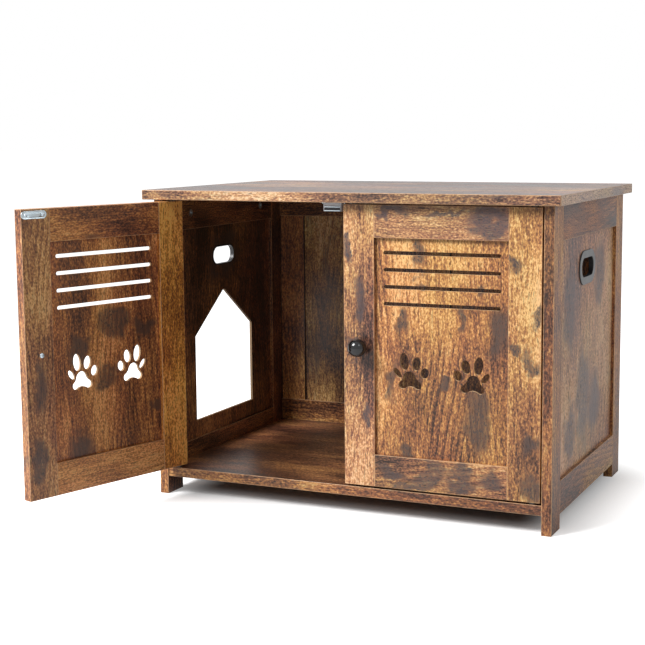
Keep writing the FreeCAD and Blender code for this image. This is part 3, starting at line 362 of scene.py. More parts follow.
def make_wood_print():
    tree, given, out = shader_group(
        "wood print",
        [("Position", "Vector", None), ("Seed", "Vector", None), ("Heart", "Float", 0.0),
         ("Tone", "Float", 0.0), ("Smoke", "Float", 0.5), ("Stain", "Float", 0.0),
         ("Figure", "Float", 0.5)],
        [("Color", "Color", None), ("Height", "Float", None), ("Roughness", "Float", None)])
    place = vectors(tree, "ADD", given["Position"], given["Seed"])

    def layer(name, source):
        """The noise of a layer, on the plain place or on the one that flows with the grain."""
        across, along, detail, roughness, distortion = LAYERS[name]
        scaled = vectors(tree, "MULTIPLY", source, (across, across, along))
        return noise(tree, scaled, 1.0, detail, roughness, distortion)

    x, y, z = split(tree, place)
    sway = layer("sway", place)
    flowing_x, flowing_y = centred(tree, sway, GRAIN_SWAY, x), centred(tree, sway, GRAIN_SWAY, y)
    flowing = join(tree, flowing_x, flowing_y, z)
    level = maths(tree, "ADD", flowing_x, flowing_y)
    strip = maths(tree, "FLOOR", maths(tree, "MULTIPLY_ADD", layer("ragged", place), STRIP_RAGGED,
                                       maths(tree, "MULTIPLY", level, STRIPS_PER_METRE)))
    layers = {name: layer(name, flowing) for name in ("broad", "fibres", "hairs")}
    layers.update({name: layer(name, place) for name in ("zones", "speckle")})
    layers["strips"] = noise(tree, join(tree, maths(tree, "MULTIPLY", strip, STRIP_STRIDE), 0.0,
                                        maths(tree, "MULTIPLY", z, STRIP_LENGTH)), 1.0, 2.0, 0.5)

    own_x, own_y, own_z = split(tree, given["Position"])
    across = maths(tree, "SUBTRACT", maths(tree, "ADD", own_x, own_y), given["Heart"])
    ringed = between(tree, layer("ringed", place), 0.40, 0.58)
    lines = maths(tree, "MULTIPLY", ring_lines(tree, across, own_z, sway), ringed)
    lines = maths(tree, "MULTIPLY", lines, given["Figure"])

    tone = maths(tree, "ADD", given["Tone"], MIDDLE_TONE)
    for name, gain in TONE_GAINS.items():
        tone = centred(tree, layers[name], gain, tone)
    tone = maths(tree, "MULTIPLY_ADD", lines, RING_DEPTH, tone)
    drift = between(tree, layer("drift", flowing), 0.38, 0.62)
    colour = blend(tree, 1.0, ramp(tree, tone, WOOD_TONES), blend(tree, drift, RUSSET, AMBER),
                   "MULTIPLY")

    cloud = layer("cloud", place)
    for name, gain in CLOUD_GAINS.items():
        cloud = centred(tree, layers[name], gain, cloud)
    begin = maths(tree, "MULTIPLY_ADD", given["Smoke"], CLOUD_START_BY_SMOKE, CLOUD_START)
    natural = between(tree, cloud, begin, maths(tree, "ADD", begin, CLOUD_RISE))
    torn = centred(tree, layers["hairs"], STAIN_HAIRS,
                   centred(tree, layers["zones"], STAIN_ZONES, given["Stain"]))
    placed = between(tree, torn, 0.05, 0.95)
    smoke = maths(tree, "MULTIPLY", maths(tree, "MAXIMUM", natural, placed),
                  centred(tree, layers["speckle"], SMOKE_SPECKLE, SMOKE_STRENGTH), clamp=True)
    colour = blend(tree, smoke, colour, CHARCOAL)

    pores = between(tree, layer("pores", flowing), 0.60, 0.70)
    colour = blend(tree, maths(tree, "MULTIPLY", pores, PORE_DEPTH), colour, PORE)
    flecks = between(tree, layer("flecks", flowing), 0.57, 0.70)
    shine = maths(tree, "MULTIPLY", between(tree, tone, 0.35, 0.8),
                  maths(tree, "MULTIPLY_ADD", smoke, SHINE_IN_SMOKE, SHINE))
    colour = blend(tree, maths(tree, "MULTIPLY", flecks, shine), colour, GOLD)

    relief = maths(tree, "MULTIPLY_ADD", layers["fibres"], 0.7, maths(tree, "MULTIPLY", pores, -1.0))
    rough = maths(tree, "MULTIPLY_ADD", pores, 0.14,
                  maths(tree, "MULTIPLY_ADD", layers["zones"], 0.20, 0.24))
    for name, value in (("Color", colour), ("Height", relief), ("Roughness", rough)):
        tree.links.new(value, out[name])
    return tree


WOOD_PRINT = make_wood_print()
print(WOOD_PRINT.name, "nodes:", len(WOOD_PRINT.nodes))

# %% [markdown]
# ## Where a board is
#
# A texture has to stay with its board when a door swings, so it reads the board's own coordinates. The
# left door is drawn standing open, turned about its pivot, and its boards no longer lie along the
# axes. One rotation about the pivot puts its coordinates back to the closed door, where edges and grain
# are straight again. The joint's record says where the pivot is and how far the door has turned.

# %% Board frames
JOINTS = {joint["name"]: joint for joint in frame["joints"]}
LEFT_PIVOT = Vector(JOINTS["left_door_hinge"]["pos_m"])
LEFT_TURN = math.radians(-JOINTS["left_door_hinge"]["range_deg"][0])
body_of = {name: made["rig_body"] for name, made in NODES.items()}


def closed(point):
    """A point of the left door, as drawn open, put back to where it is when the door is closed."""
    return Matrix.Rotation(LEFT_TURN, 3, "Z") @ (point - LEFT_PIVOT) + LEFT_PIVOT


def board_box(name):
    """A board's lowest and highest corners along its own edges."""
    points = [v.co for v in NODES[name].data.vertices]
    if body_of[name] == "left_door":
        points = [closed(p) for p in points]
    return tuple(Vector([end(p[k] for p in points) for k in range(3)]) for end in (min, max))


def thinnest_way(low, high):
    """The number of the axis along which a box is thinnest."""
    return min(range(3), key=lambda k: (high - low)[k])


print("left door free stile, closed:",
      [tuple(round(v, 3) for v in corner) for corner in board_box("left_door_free_stile")])

# %% [markdown]
# ## One material for each board
#
# Real boards are cut from different sheets, so no two look the same. A table gives each board its grain
# direction, how smoky and how golden it is, and its listed smoke marks, as two places on the board's
# face and two half sizes, in millimetres. Cut edges inside a thin panel's holes show the bare
# fibreboard, which the face's direction gives away.
# The boards seen inside the cabinet are darker partly by their own print and partly by painted shade for
# the dim inside.

# %% Board materials
FIBRE = (0.56, 0.37, 0.21, 1)
# Pale edge colour: partly rubbed print and partly a painted highlight on board edges; it also lightens
# bare fibre in cut holes.
PALE_EDGE = (0.76, 0.47, 0.26, 1)
WEAR_AND_HIGHLIGHT_WIDTH, WEAR_AND_HIGHLIGHT_DEPTH = 0.0020, 0.7
BOARD_GLOSS_INDEX = 1.42
PRINT_RELIEF, PRINT_RELIEF_DEPTH = 0.3, 0.0004
SEAM_WIDTH = 0.0022
FIBRE_SCALE, FIBRE_ROUGHER = 900.0, 0.4
ON_FACE, OFF_FACE = 0.8, 0.4
FACE_SHIFT = (3.1, 2.3, 1.7)
GRAIN_ORDER = {"X": ("Z", "Y", "X"), "Y": ("X", "Z", "Y"), "Z": ("X", "Y", "Z")}
END_GRAIN = {"X": "Y", "Y": "Z", "Z": "X"}
dice = random.Random(2607)


def own_place(tree, name):
    """Position and face direction in the board's own frame."""
    coordinates = node(tree, "TexCoord").outputs
    if body_of[name] != "left_door":
        return coordinates["Object"], coordinates["Normal"]
    turned_back = []
    for output, centre in (("Object", LEFT_PIVOT), ("Normal", (0, 0, 0))):
        turned_back.append(node(tree, "VectorRotate", {
            "Vector": coordinates[output], "Center": tuple(centre), "Axis": (0, 0, 1),
            "Angle": LEFT_TURN}, rotation_type="AXIS_ANGLE").outputs[0])
    return turned_back


def mark_places(marks, low, high):
    """Marks are (level, height, half width, half height) in mm on the face seen in the photograph."""
    thinnest = thinnest_way(low, high)
    level_axis, height_axis = (k for k in range(3) if k != thinnest)
    places = []
    for level, height, half_width, half_height in marks:
        centre, size = (low + high) / 2, Vector((1, 1, 1))
        centre[level_axis], centre[height_axis] = level / 1000, height / 1000
        size[level_axis], size[height_axis] = half_width / 1000, half_height / 1000
        places.append((tuple(centre), tuple(size)))
    return places


def facing(tree, normal, axis):
    """1 where a face looks straight along an axis, 0 where it runs along it."""
    return maths(tree, "ABSOLUTE", dict(zip("XYZ", split(tree, normal)))[axis])


def print_place(tree, axes, normal, grain, coarse):
    """Where the print is read: grain along Z, end grain turned, each face of a board elsewhere."""
    end = between(tree, facing(tree, normal, grain), 0.6, 0.8)
    along = choose(tree, end, join(tree, *(axes[a] for a in GRAIN_ORDER[grain])),
                   join(tree, *(axes[a] for a in GRAIN_ORDER[END_GRAIN[grain]])))
    if coarse != 1.0:
        along = vectors(tree, "MULTIPLY", along, (coarse, coarse, 1.0))
    return vectors(tree, "ADD", along, vectors(tree, "MULTIPLY", normal, FACE_SHIFT))


def board_material(name, grain, smoke, tone=0.0, figure=0.6, heart=None, marks=(), thin=None, rim=0.0,
                   gloss=0.0, tint=None, jamb=1.0, seam=None, coarse=1.0):
    """thin is the axis through a thin panel, whose holes show bare fibre, as pale as jamb says; marks
    lie across it. heart is where the ring figure's middle line runs on the front, in mm; rim makes the
    narrow edges paler; seam is the axis at whose two ends the joint with the next board shows dark;
    coarse below 1 widens the print's fibres."""
    material = bpy.data.materials.new(f"wood_print_{name}")
    material.use_nodes = True
    tree = material.node_tree
    skin = tree.nodes["Principled BSDF"]
    position, normal = own_place(tree, name)
    axes = dict(zip("XYZ", split(tree, position)))
    low, high = board_box(name)

    stain = 0.0
    for centre, size in mark_places(marks, low, high):
        mark = use(tree, SMOKE_MARK, {"Position": position, "Centre": centre, "Size": size})["Stain"]
        stain = maths(tree, "MAXIMUM", stain, mark)
    seed = tuple(dice.uniform(-9, 9) for _ in range(3))
    if heart is None:
        middle = dice.uniform(0, HEART_SPACING)
    else:
        middle = heart / 1000 + low.y - FACE_SHIFT[1]
    if rim:
        narrow = between(tree, facing(tree, normal, "XYZ"[thinnest_way(low, high)]), ON_FACE, OFF_FACE)
        tone = maths(tree, "MULTIPLY_ADD", narrow, rim, tone)
    wood = use(tree, WOOD_PRINT, {
        "Position": print_place(tree, axes, normal, grain, coarse), "Seed": seed,
        "Heart": middle, "Smoke": smoke, "Tone": tone, "Stain": stain, "Figure": figure})
    colour, rough = wood["Color"], wood["Roughness"]
    if tint:
        colour = blend(tree, 1.0, colour, (*tint, 1), "MULTIPLY")
    # Pale line along the board's edges: partly rubbed print, partly a painted highlight where an eased
    # edge would catch light.
    worn = use(tree, EDGE_WEAR_AND_HIGHLIGHT, {"Position": position, "Low": low, "High": high,
                                 "Width": WEAR_AND_HIGHLIGHT_WIDTH})["Worn"]
    colour = blend(tree, maths(tree, "MULTIPLY", worn, WEAR_AND_HIGHLIGHT_DEPTH), colour, PALE_EDGE)
    if seam:
        k = "XYZ".index(seam)
        inset = maths(tree, "MINIMUM", maths(tree, "SUBTRACT", axes[seam], low[k]),
                      maths(tree, "SUBTRACT", high[k], axes[seam]))
        colour = blend(tree, between(tree, inset, SEAM_WIDTH, SEAM_WIDTH * 0.6), colour, PORE)
    if thin:
        cut = between(tree, facing(tree, normal, thin), ON_FACE, OFF_FACE)
        fibres = noise(tree, position, FIBRE_SCALE, 3.0, 0.7)
        bare = blend(tree, maths(tree, "MULTIPLY", fibres, 0.5), shaded(FIBRE, jamb), shaded(PALE_EDGE, jamb))
        colour = blend(tree, cut, colour, bare)
        rough = maths(tree, "MULTIPLY_ADD", cut, FIBRE_ROUGHER, rough)

    put(skin.inputs["Base Color"], colour, tree)
    put(skin.inputs["Roughness"], maths(tree, "SUBTRACT", rough, gloss), tree)
    skin.inputs["IOR"].default_value = BOARD_GLOSS_INDEX
    bump = node(tree, "Bump", {"Height": wood["Height"], "Strength": PRINT_RELIEF,
                               "Distance": PRINT_RELIEF_DEPTH})
    put(skin.inputs["Normal"], bump.outputs[0], tree)
    return material


def shaded(colour, share):
    """A colour made darker by a share."""
    return (*[c * share for c in colour[:3]], 1)


def dress(name, material):
    """Put a material on all of a solid's slots."""
    for slot in NODES[name].material_slots:
        slot.material = material


RIGHT_PANEL_MARKS = [(140, 470, 11, 24), (150, 430, 14, 9), (114, 345, 12, 30), (219, 363, 6, 17),
                     (288, 345, 22, 45), (254, 412, 8, 20), (248, 185, 22, 60), (187, 240, 9, 14),
                     (125, 122, 14, 14), (95, 250, 8, 40)]
RIGHT_HINGE_MARKS = [(318, 466, 14, 10), (356, 372, 10, 14), (316, 330, 9, 12), (343, 305, 20, 16),
                     (346, 150, 16, 20), (346, 84, 18, 30)]
RIGHT_FREE_MARKS = [(31, 385, 11, 58), (20, 300, 7, 18), (46, 180, 7, 26), (12, 480, 6, 20)]
RIGHT_BOTTOM_MARKS = [(95, 92, 30, 14), (160, 84, 34, 22), (225, 80, 30, 20), (280, 78, 26, 22),
                      (130, 62, 40, 8)]
RIGHT_TOP_MARKS = [(270, 530, 36, 20), (90, 548, 26, 10), (190, 540, 30, 6)]
LEFT_PANEL_MARKS = [(-200, 345, 36, 26), (-270, 330, 26, 22), (-120, 300, 20, 24), (-300, 180, 22, 16),
                    (-180, 250, 30, 20), (-120, 130, 26, 30)]
LEFT_SIDE_MARKS = [(-8, 439, 66, 41)]  # the dark ring round the hand hole
RIGHT_SIDE_MARKS = [(-20, 200, 50, 90), (-120, 380, 40, 80), (90, 420, 36, 60), (60, 180, 40, 60),
                    (-110, 150, 40, 50)]
LEFT_FREE_MARKS = [(-30, 250, 14, 50), (-25, 130, 16, 40)]

PINKISH, GREYED, RUSSET_BROWN = (1.04, 1.14, 1.45), (0.98, 1.14, 1.35), (1.08, 0.95, 0.88)
# Low tones of the boards seen inside (bottom panel, left rails, left side panel, left rear leg) are
# partly the print's own and partly painted shade for the dim inside of the cabinet.
BOARDS = {
    "top_panel": dict(grain="X", smoke=0.6, tone=-0.26, rim=0.31, tint=(0.92, 1.14, 1.6)),
    "bottom_panel": dict(grain="X", smoke=0.45, tone=-0.22, rim=0.14, tint=(1.0, 1.02, 1.05)),
    "left_front_leg": dict(grain="Z", smoke=0.2, tone=0.02),
    "left_rear_leg": dict(grain="Z", smoke=0.5, tone=-0.12),
    "right_front_leg": dict(grain="Z", smoke=0.3, tone=0.04, gloss=-0.14, tint=(1.0, 1.08, 1.15)),
    "right_rear_leg": dict(grain="Z", smoke=0.5, tone=-0.02, gloss=-0.14),
    "left_top_rail": dict(grain="Y", smoke=0.5, tone=-0.14),
    "left_bottom_rail": dict(grain="Y", smoke=0.3, tone=-0.12),
    "right_top_rail": dict(grain="Y", smoke=0.85, tone=-0.18, gloss=-0.16),
    "right_bottom_rail": dict(grain="Y", smoke=0.6, tone=-0.03, gloss=-0.14, tint=GREYED),
    "left_side_panel": dict(grain="Z", smoke=0.5, tone=-0.18, thin="X", jamb=0.4,
                            marks=LEFT_SIDE_MARKS),
    "right_side_panel": dict(grain="Z", smoke=0.5, tone=0.09, thin="X", gloss=-0.14, coarse=0.5,
                             tint=(0.94, 1.04, 1.5), marks=RIGHT_SIDE_MARKS),
    "back_left_stile": dict(grain="Z", smoke=0.4, tone=-0.05, seam="X"),
    "back_centre_stile": dict(grain="Z", smoke=0.5, tone=-0.05, seam="X"),
    "back_right_stile": dict(grain="Z", smoke=0.5, tone=-0.03),
    "back_top_rail": dict(grain="X", smoke=0.5, tone=-0.03),
    "back_bottom_rail": dict(grain="X", smoke=0.3, tone=0.0),
    "back_left_panel": dict(grain="Z", smoke=0.7, tone=0.0, thin="Y", tint=GREYED),
    "back_right_panel": dict(grain="Z", smoke=0.5, tone=0.0, thin="Y"),
    "left_door_hinge_stile": dict(grain="Z", smoke=0.1, tone=0.15, figure=0.3, tint=(1.22, 1.02, 0.66)),
    "left_door_free_stile": dict(grain="Z", smoke=0.4, tone=0.05, marks=LEFT_FREE_MARKS,
                                 tint=(0.98, 0.98, 1.12)),
    "left_door_top_rail": dict(grain="X", smoke=0.35, tone=0.07, tint=RUSSET_BROWN),
    "left_door_bottom_rail": dict(grain="X", smoke=0.25, tone=0.17, tint=RUSSET_BROWN),
    "left_door_panel": dict(grain="Z", smoke=0.3, tone=0.02, thin="Y", marks=LEFT_PANEL_MARKS,
                            tint=RUSSET_BROWN),
    "right_door_hinge_stile": dict(grain="Z", smoke=0.1, tone=0.09, figure=0.25, marks=RIGHT_HINGE_MARKS,
                                   tint=(1.0, 1.04, 1.12)),
    "right_door_free_stile": dict(grain="Z", smoke=0.1, tone=0.03, heart=12, marks=RIGHT_FREE_MARKS,
                                  tint=PINKISH),
    "right_door_top_rail": dict(grain="X", smoke=0.2, tone=-0.05, marks=RIGHT_TOP_MARKS,
                                tint=(1.02, 1.18, 1.6)),
    "right_door_bottom_rail": dict(grain="X", smoke=0.35, tone=-0.02, marks=RIGHT_BOTTOM_MARKS,
                                   tint=(1.0, 1.1, 1.3)),
    "right_door_panel": dict(grain="Z", smoke=0.1, tone=0.02, figure=0.9, heart=141, thin="Y",
                             marks=RIGHT_PANEL_MARKS),
}
for board, looks in BOARDS.items():
    dress(board, board_material(board, **looks))
print("boards dressed:", len(BOARDS))

# %% [markdown]
# ## Fittings
#
# The mouldings and metal parts are small, but a flat colour would give them away. Every one is clouded
# in two tones of its own. Black plastic has a fine moulded grain, zinc plate is almost smooth, and beech
# has the coarsest relief.

# %% Fittings' materials
CLOUDS_PER_SCALE, GRAIN_PER_SCALE = 1 / 6, 6
ROUGHNESS_SWING = 0.18
FITTING_RELIEF_DEPTH = 0.0002


def fitting_material(name, colour, second, rough, metallic=0.0, scale=300.0, bump=0.1):
    """Two tones clouded together, a roughness that follows the clouds, and a fine bump of its own."""
    material = bpy.data.materials.new(name)
    material.use_nodes = True
    tree = material.node_tree
    skin = tree.nodes["Principled BSDF"]
    place = node(tree, "TexCoord").outputs["Object"]
    clouds = noise(tree, place, scale * CLOUDS_PER_SCALE, 4.0, 0.6)
    grain = noise(tree, place, scale * GRAIN_PER_SCALE, 2.0, 0.6)
    tones = blend(tree, between(tree, clouds, 0.3, 0.7), (*colour, 1), (*second, 1))
    put(skin.inputs["Base Color"], tones, tree)
    put(skin.inputs["Roughness"], centred(tree, clouds, ROUGHNESS_SWING, rough), tree)
    skin.inputs["Metallic"].default_value = metallic
    relief = node(tree, "Bump", {"Height": grain, "Strength": bump, "Distance": FITTING_RELIEF_DEPTH})
    put(skin.inputs["Normal"], relief.outputs[0], tree)
    return material


BLACK_MOULDING = fitting_material("black_moulding", (0.016, 0.016, 0.018), (0.024, 0.024, 0.026), 0.38)
BLACK_GLOSS = fitting_material("black_gloss", (0.005, 0.005, 0.006), (0.009, 0.009, 0.010), 0.17,
                               bump=0.02)
WHITE_MOULDING = fitting_material("white_moulding", (0.90, 0.91, 0.93), (0.84, 0.85, 0.87), 0.35)
STAMPED_ZINC = fitting_material("stamped_zinc", (0.48, 0.56, 0.60), (0.36, 0.43, 0.47), 0.34,
                                metallic=1.0, bump=0.05)
BRIGHT_SCREW = fitting_material("bright_screw", (0.60, 0.66, 0.70), (0.46, 0.52, 0.56), 0.28,
                                metallic=1.0, bump=0.05)
ZINC = fitting_material("zinc_plate", (0.56, 0.62, 0.65), (0.42, 0.48, 0.52), 0.36, metallic=1.0,
                        bump=0.06)
STEEL = fitting_material("plain_steel", (0.56, 0.56, 0.57), (0.44, 0.44, 0.45), 0.3, metallic=1.0,
                         bump=0.05)
FERRITE = fitting_material("ferrite", (0.05, 0.05, 0.055), (0.08, 0.08, 0.085), 0.6)
NYLON = fitting_material("brown_nylon", (0.060, 0.042, 0.032), (0.045, 0.032, 0.024), 0.45)
BEECH = fitting_material("beech", (0.62, 0.44, 0.27), (0.50, 0.33, 0.19), 0.6, scale=900.0, bump=0.3)
FITTINGS = {
    BLACK_MOULDING: ["left_grip_liner", "right_grip_liner"],
    WHITE_MOULDING: ["left_catch_housing", "right_catch_housing"],
    ZINC: ["top_cam_discs", "bottom_cam_discs", "top_cam_bolts", "bottom_cam_bolts", "catch_pole_plates"],
    STEEL: ["upper_pivot_pins", "lower_pivot_pins"],
    FERRITE: ["catch_magnets"],
    NYLON: ["left_pivot_sleeves", "right_pivot_sleeves"],
    BEECH: ["side_frame_dowels", "back_frame_dowels", "left_door_dowels", "right_door_dowels"],
}
for material, names in FITTINGS.items():
    for name in names:
        dress(name, material)
print("fittings dressed:", sum(len(names) for names in FITTINGS.values()))

# %% [markdown]
# ## Small pieces modelled again
#
# The knobs, screws and strike plates catch the light, so they are made finer than their solids. Each is
# one sheet of points: rings of points round an axis, joined by faces. A helper lays such rings, another
# puts the finished piece where it belongs. Pieces are made for closed doors, and the left door's are then
# turned out to where it stands.

# %% Ring sheets
ROUND_STEPS = 64
SHARP_FROM = math.radians(48)


def ring_sheet(bm, rings):
    """Join rings of points into a skin; the first and the last are closed with a middle point."""
    laid = [[bm.verts.new(point) for point in ring] for ring in rings]
    for inner, outer in zip(laid, laid[1:]):
        for i, point in enumerate(inner):
            j = (i + 1) % len(inner)
            bm.faces.new((point, inner[j], outer[j], outer[i]))
    for ring, flip in ((laid[0], True), (laid[-1], False)):
        middle = bm.verts.new(sum((v.co for v in ring), Vector()) / len(ring))
        for i, point in enumerate(ring):
            corners = (middle, point, ring[(i + 1) % len(ring)])
            bm.faces.new(corners[::-1] if flip else corners)
    return bm


def turned(profile):
    """Rings for a piece turned on a lathe, from (radius, height) pairs in millimetres."""
    angles = [2 * math.pi * k / ROUND_STEPS for k in range(ROUND_STEPS)]
    return [[Vector((radius * math.cos(a), radius * math.sin(a), height)) for a in angles]
            for radius, height in profile]


def facing_out(side, body_x, height, depth):
    """A frame on a door: Z out of the face in the direction of side (-1 front, 1 back)."""
    turn = Matrix.Rotation(math.radians(-90 * side), 4, "X")
    return Matrix.Translation(Vector((body_x, depth, height)) / 1000) @ turn @ Matrix.Scale(0.001, 4)


def fit_piece(name, parts, material, replaced):
    """One object from parts, each a list of rings and its frame; it takes the place of a solid."""
    body = body_of[replaced]
    bm = bmesh.new()
    for rings, frame_matrix in parts:
        part = ring_sheet(bmesh.new(), rings)
        part.transform(frame_matrix)
        if body == "left_door":
            part.transform(Matrix.Translation(LEFT_PIVOT) @ Matrix.Rotation(-LEFT_TURN, 4, "Z")
                           @ Matrix.Translation(-LEFT_PIVOT))
        scrap = bpy.data.meshes.new("part")
        part.to_mesh(scrap)
        part.free()
        bm.from_mesh(scrap)
        bpy.data.meshes.remove(scrap)
    bmesh.ops.recalc_face_normals(bm, faces=bm.faces)
    for face in bm.faces:
        face.smooth = True
    mesh = bpy.data.meshes.new(name)
    bm.to_mesh(mesh)
    bm.free()
    mesh.materials.append(material)
    mesh.set_sharp_from_angle(angle=SHARP_FROM)
    piece = bpy.data.objects.new(name, mesh)
    bpy.context.scene.collection.objects.link(piece)
    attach(piece, body)
    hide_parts(replaced)


print("ring helpers ready,", ROUND_STEPS, "points round")

# %% [markdown]
# ## Knobs
#
# A knob is a black ball turned with a short neck and a small foot that sits on the door. Its outline is
# an arc that starts where the neck ends. The ball's even curve is what gives its sharp highlights, so
# it gets many rings.

# %% Knobs
SIDES = {"left": -1, "right": 1}
FRONT_FACE, BACK_FACE = -250.0, -232.0
KNOB_PLACE = (35.5, 307.5)
KNOB_RADIUS, NECK_RADIUS, NECK_LENGTH, FOOT_RADIUS = 16.25, 7.5, 4.0, 8.4
ARC_STEPS, ARC_STOPS_SHORT = 30, 0.02


def knob_profile():
    """(radius, height) pairs from the foot on the door to the top of the ball."""
    middle = NECK_LENGTH + math.sqrt(KNOB_RADIUS ** 2 - NECK_RADIUS ** 2)
    begin = math.asin(NECK_RADIUS / KNOB_RADIUS)
    arc = [begin + (math.pi - ARC_STOPS_SHORT - begin) * k / ARC_STEPS for k in range(ARC_STEPS + 1)]
    foot = [(FOOT_RADIUS, 0.0), (FOOT_RADIUS, 0.7), (NECK_RADIUS, 1.5), (NECK_RADIUS, NECK_LENGTH - 0.6)]
    return foot + [(KNOB_RADIUS * math.sin(a), middle - KNOB_RADIUS * math.cos(a)) for a in arc]


for side, sign in SIDES.items():
    on_door = facing_out(-1, sign * KNOB_PLACE[0], KNOB_PLACE[1], FRONT_FACE)
    fit_piece(f"{side}_turned_knob", [(turned(knob_profile()), on_door)], BLACK_GLOSS,
              f"{side}_door_knob")
print("knobs turned, rings in each:", len(knob_profile()))

# %% [markdown]
# ## Pan-head screws
#
# Every screw that shows has a domed head with a cross for the screwdriver. The head is rings of points
# again, but each point is let down where it lies within the cross, with sloping walls, as a punch
# leaves it. The crosses point different ways, as they do when the screws are tight.

# %% Screws
CROSS_WIDTH, CROSS_REACH, CROSS_DEPTH, CROSS_WALL = 0.17, 0.62, 0.45, 0.08
HEAD_STEPS, HEAD_SIDE = 19, 0.35


def cross_depth(x, y):
    """How deep the cross is at a point of a head of radius 1."""
    arms = [(CROSS_WIDTH - abs(narrow), CROSS_REACH - abs(long)) for narrow, long in ((x, y), (y, x))]
    return max(min(1.0, max(0.0, min(a, b) / CROSS_WALL)) for a, b in arms)


def screw_rings(head_radius, head_height, shank_radius, shank_length):
    """Rings from the shank's tip up to the middle of the head."""
    turn = dice.uniform(0, math.pi)
    rings = turned([(shank_radius * 0.2, -shank_length), (shank_radius, shank_radius - shank_length),
                    (shank_radius, 0.0), (head_radius, 0.0), (head_radius, head_height * HEAD_SIDE)])
    for k in range(1, HEAD_STEPS):
        share = math.cos(math.pi / 2 * k / HEAD_STEPS)
        dome = head_height * (HEAD_SIDE + (1 - HEAD_SIDE) * math.sqrt(1 - share ** 2))
        ring = []
        for point in turned([(head_radius * share, 0.0)])[0]:
            angle = math.atan2(point.y, point.x) + turn
            cross = cross_depth(share * math.cos(angle), share * math.sin(angle))
            ring.append(Vector((point.x, point.y, dome - cross * CROSS_DEPTH * head_height)))
        rings.append(ring)
    return rings


STRIKE_PLACE, STRIKE_PITCH = (28.5, 549.0), 35.0
PLATE_FACE = BACK_FACE + 1.2
CATCH_EARS, CATCH_DEPTH, EAR_UNDERSIDE = (7.25, 49.75), -221.0, 559.5
# Head radius, head height, shank radius and length, in mm
STRIKE_SCREW = (3.0, 2.1, 1.5, 11.0)
KNOB_SCREW = (4.5, 3.1, 2.0, 29.0)
CATCH_SCREW = (3.0, 2.1, 1.5, 12.0)
for side, sign in SIDES.items():
    in_plate = [facing_out(1, sign * (STRIKE_PLACE[0] + end * STRIKE_PITCH / 2), STRIKE_PLACE[1],
                           PLATE_FACE) for end in (-1, 1)]
    fit_piece(f"{side}_strike_pan_screws", [(screw_rings(*STRIKE_SCREW), place) for place in in_plate],
              BRIGHT_SCREW, f"{side}_strike_screws")
    behind_knob = facing_out(1, sign * KNOB_PLACE[0], KNOB_PLACE[1], BACK_FACE)
    fit_piece(f"{side}_knob_pan_screw", [(screw_rings(*KNOB_SCREW), behind_knob)],
              BRIGHT_SCREW, f"{side}_knob_screw")
hanging = [Matrix.Translation(Vector((sign * ear, CATCH_DEPTH, EAR_UNDERSIDE)) / 1000)
           @ Matrix.Rotation(math.pi, 4, "X") @ Matrix.Scale(0.001, 4)
           for sign in SIDES.values() for ear in CATCH_EARS]
fit_piece("catch_pan_screws", [(screw_rings(*CATCH_SCREW), place) for place in hanging],
          BRIGHT_SCREW, "catch_screws")
print("catch screws driven:", len(hanging))

# %% [markdown]
# ## Strike plates
#
# The plate that meets the magnet is stamped from thin zinc-plated sheet: round ends, a rolled edge, a
# shallow trough along the rim and a raised bar in the middle. Rings of the same number of points step
# from the outline inwards, first the plate's own, then the bar's.

# %% Strike plates


def round_ended(length, width, inset, height):
    """A ring in the shape of a bar with round ends, drawn inwards by inset."""
    radius, straight = width / 2 - inset, (length - width) / 2
    angles = [2 * math.pi * (k + 0.5) / ROUND_STEPS for k in range(ROUND_STEPS)]
    return [Vector((math.copysign(straight, math.cos(a)) + radius * math.cos(a), radius * math.sin(a),
                    height)) for a in angles]


PLATE_SIZE, BAR_SIZE = (52.0, 14.0), (26.0, 7.7)
# Steps of the sheet from the outline inwards: how far in, how high, in mm
PLATE_STEPS = [(0.0, 0.0), (0.0, 0.7), (0.15, 1.05), (0.45, 1.2), (1.1, 1.2), (1.4, 1.0), (2.3, 1.0)]
BAR_STEPS = [(-0.5, 1.0), (-0.1, 1.2), (0.2, 1.95), (0.5, 2.15), (1.0, 2.2)]
plate_rings = ([round_ended(*PLATE_SIZE, *step) for step in PLATE_STEPS]
               + [round_ended(*BAR_SIZE, *step) for step in BAR_STEPS])
for side, sign in SIDES.items():
    on_door = facing_out(1, sign * STRIKE_PLACE[0], STRIKE_PLACE[1], BACK_FACE)
    fit_piece(f"{side}_stamped_strike", [(plate_rings, on_door)], STAMPED_ZINC,
              f"{side}_strike_plate")
print("strike plates stamped, rings in each:", len(plate_rings))

# %% [markdown]
# ## Floor, light and backdrop
#
# The cabinet stands on a white floor that runs on into a white sky. Under the cabinet the lamps alone
# light the floor, so its shadow stays. From there outwards the floor glows more and more for the camera
# and in reflections, which also gives the top board its pale sheen. It throws less light back than it
# shows, or the underside and the inside would be far too bright. The key lamp is a large softbox high on
# the left. A second one on the right and a strip at the right side only fill.

# %% Floor and light
FLOOR_REACH = 40.0
GLOW_INSET, GLOW_REACH = 0.09, 0.24
SEEN_FLOOR, BOUNCING_FLOOR, FLOOR_ROUGHNESS = 0.86, 0.42, 0.9
SKY_FILL = 0.11
AIMED_AT = Vector((0, -0.1, 0.3))
# Direction from the cabinet, distance in m, size in m, power in W
LAMPS = {
    "key_softbox": ((-0.46, -0.62, 0.70), 3.6, (1.5, 1.5), 190),
    "fill_softbox": ((0.60, -0.48, 0.66), 3.4, (0.7, 1.0), 10),
    "side_strip": ((0.87, 0.25, 0.41), 3.0, (0.4, 1.2), 10),
}


def background_rays(tree):
    """1 for rays from the camera and for those that a mirror or glass sends on, else 0."""
    paths = node(tree, "LightPath").outputs
    return maths(tree, "MAXIMUM", maths(tree, "MAXIMUM", paths["Is Camera Ray"], paths["Is Glossy Ray"]),
                 paths["Is Transmission Ray"])


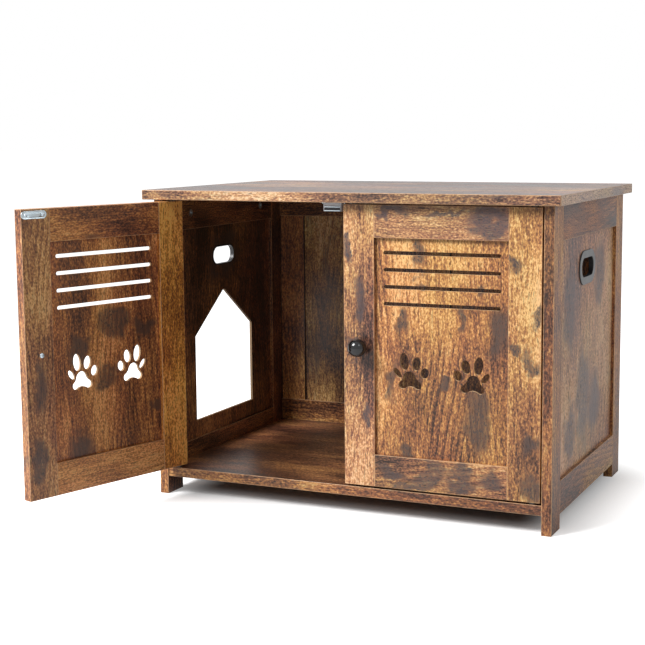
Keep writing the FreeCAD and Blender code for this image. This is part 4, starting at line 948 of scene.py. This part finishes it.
def make_floor():
    """A wide white sheet that glows for the camera, but not right under the cabinet."""
    mesh = bpy.data.meshes.new("floor")
    r = FLOOR_REACH
    mesh.from_pydata([(-r, -r, 0), (r, -r, 0), (r, r, 0), (-r, r, 0)], [], [(0, 1, 2, 3)])
    floor = bpy.data.objects.new("floor", mesh)
    bpy.context.scene.collection.objects.link(floor)
    material = bpy.data.materials.new("white_floor")
    material.use_nodes = True
    tree = material.node_tree
    skin = tree.nodes["Principled BSDF"]
    seen = node(tree, "LightPath").outputs["Is Camera Ray"]
    grey, white = ((share, share, share, 1) for share in (BOUNCING_FLOOR, SEEN_FLOOR))
    put(skin.inputs["Base Color"], blend(tree, seen, grey, white), tree)
    skin.inputs["Roughness"].default_value = FLOOR_ROUGHNESS
    skin.inputs["Specular IOR Level"].default_value = 0.0
    skin.inputs["Emission Color"].default_value = (1, 1, 1, 1)
    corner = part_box("right_rear_leg")[1]
    beyond = vectors(tree, "SUBTRACT",
                     vectors(tree, "ABSOLUTE", node(tree, "TexCoord").outputs["Object"]),
                     (corner[0] - GLOW_INSET, corner[1] - GLOW_INSET, 0))
    outside = vectors(tree, "LENGTH", vectors(tree, "MAXIMUM", beyond, (0, 0, 0)))
    glow = maths(tree, "MULTIPLY", background_rays(tree), between(tree, outside, 0.0, GLOW_REACH))
    put(skin.inputs["Emission Strength"], glow, tree)
    mesh.materials.append(material)


def make_sky(fill):
    """White for the camera and in reflections, and a faint fill for everything else."""
    world = bpy.data.worlds.new("white_studio")
    bpy.context.scene.world = world
    world.use_nodes = True
    tree = world.node_tree
    sky = tree.nodes["Background"]
    sky.inputs["Color"].default_value = (1, 1, 1, 1)
    put(sky.inputs["Strength"], maths(tree, "MULTIPLY_ADD", background_rays(tree), 1 - fill, fill), tree)


def make_lamp(name, towards, distance, size, power):
    """A softbox in a direction from the cabinet's middle, facing it."""
    lamp = bpy.data.lights.new(name, "AREA")
    lamp.shape = "RECTANGLE"
    lamp.size, lamp.size_y = size
    lamp.energy = power
    stand = bpy.data.objects.new(name, lamp)
    bpy.context.scene.collection.objects.link(stand)
    stand.location = AIMED_AT + Vector(towards).normalized() * distance
    stand.rotation_mode = "QUATERNION"
    stand.rotation_quaternion = (AIMED_AT - stand.location).to_track_quat("-Z", "Y")


make_floor()
make_sky(SKY_FILL)
for lamp_name, setting in LAMPS.items():
    make_lamp(lamp_name, *setting)
bpy.context.scene.view_settings.view_transform = "Standard"
print("lamps:", ", ".join(LAMPS))
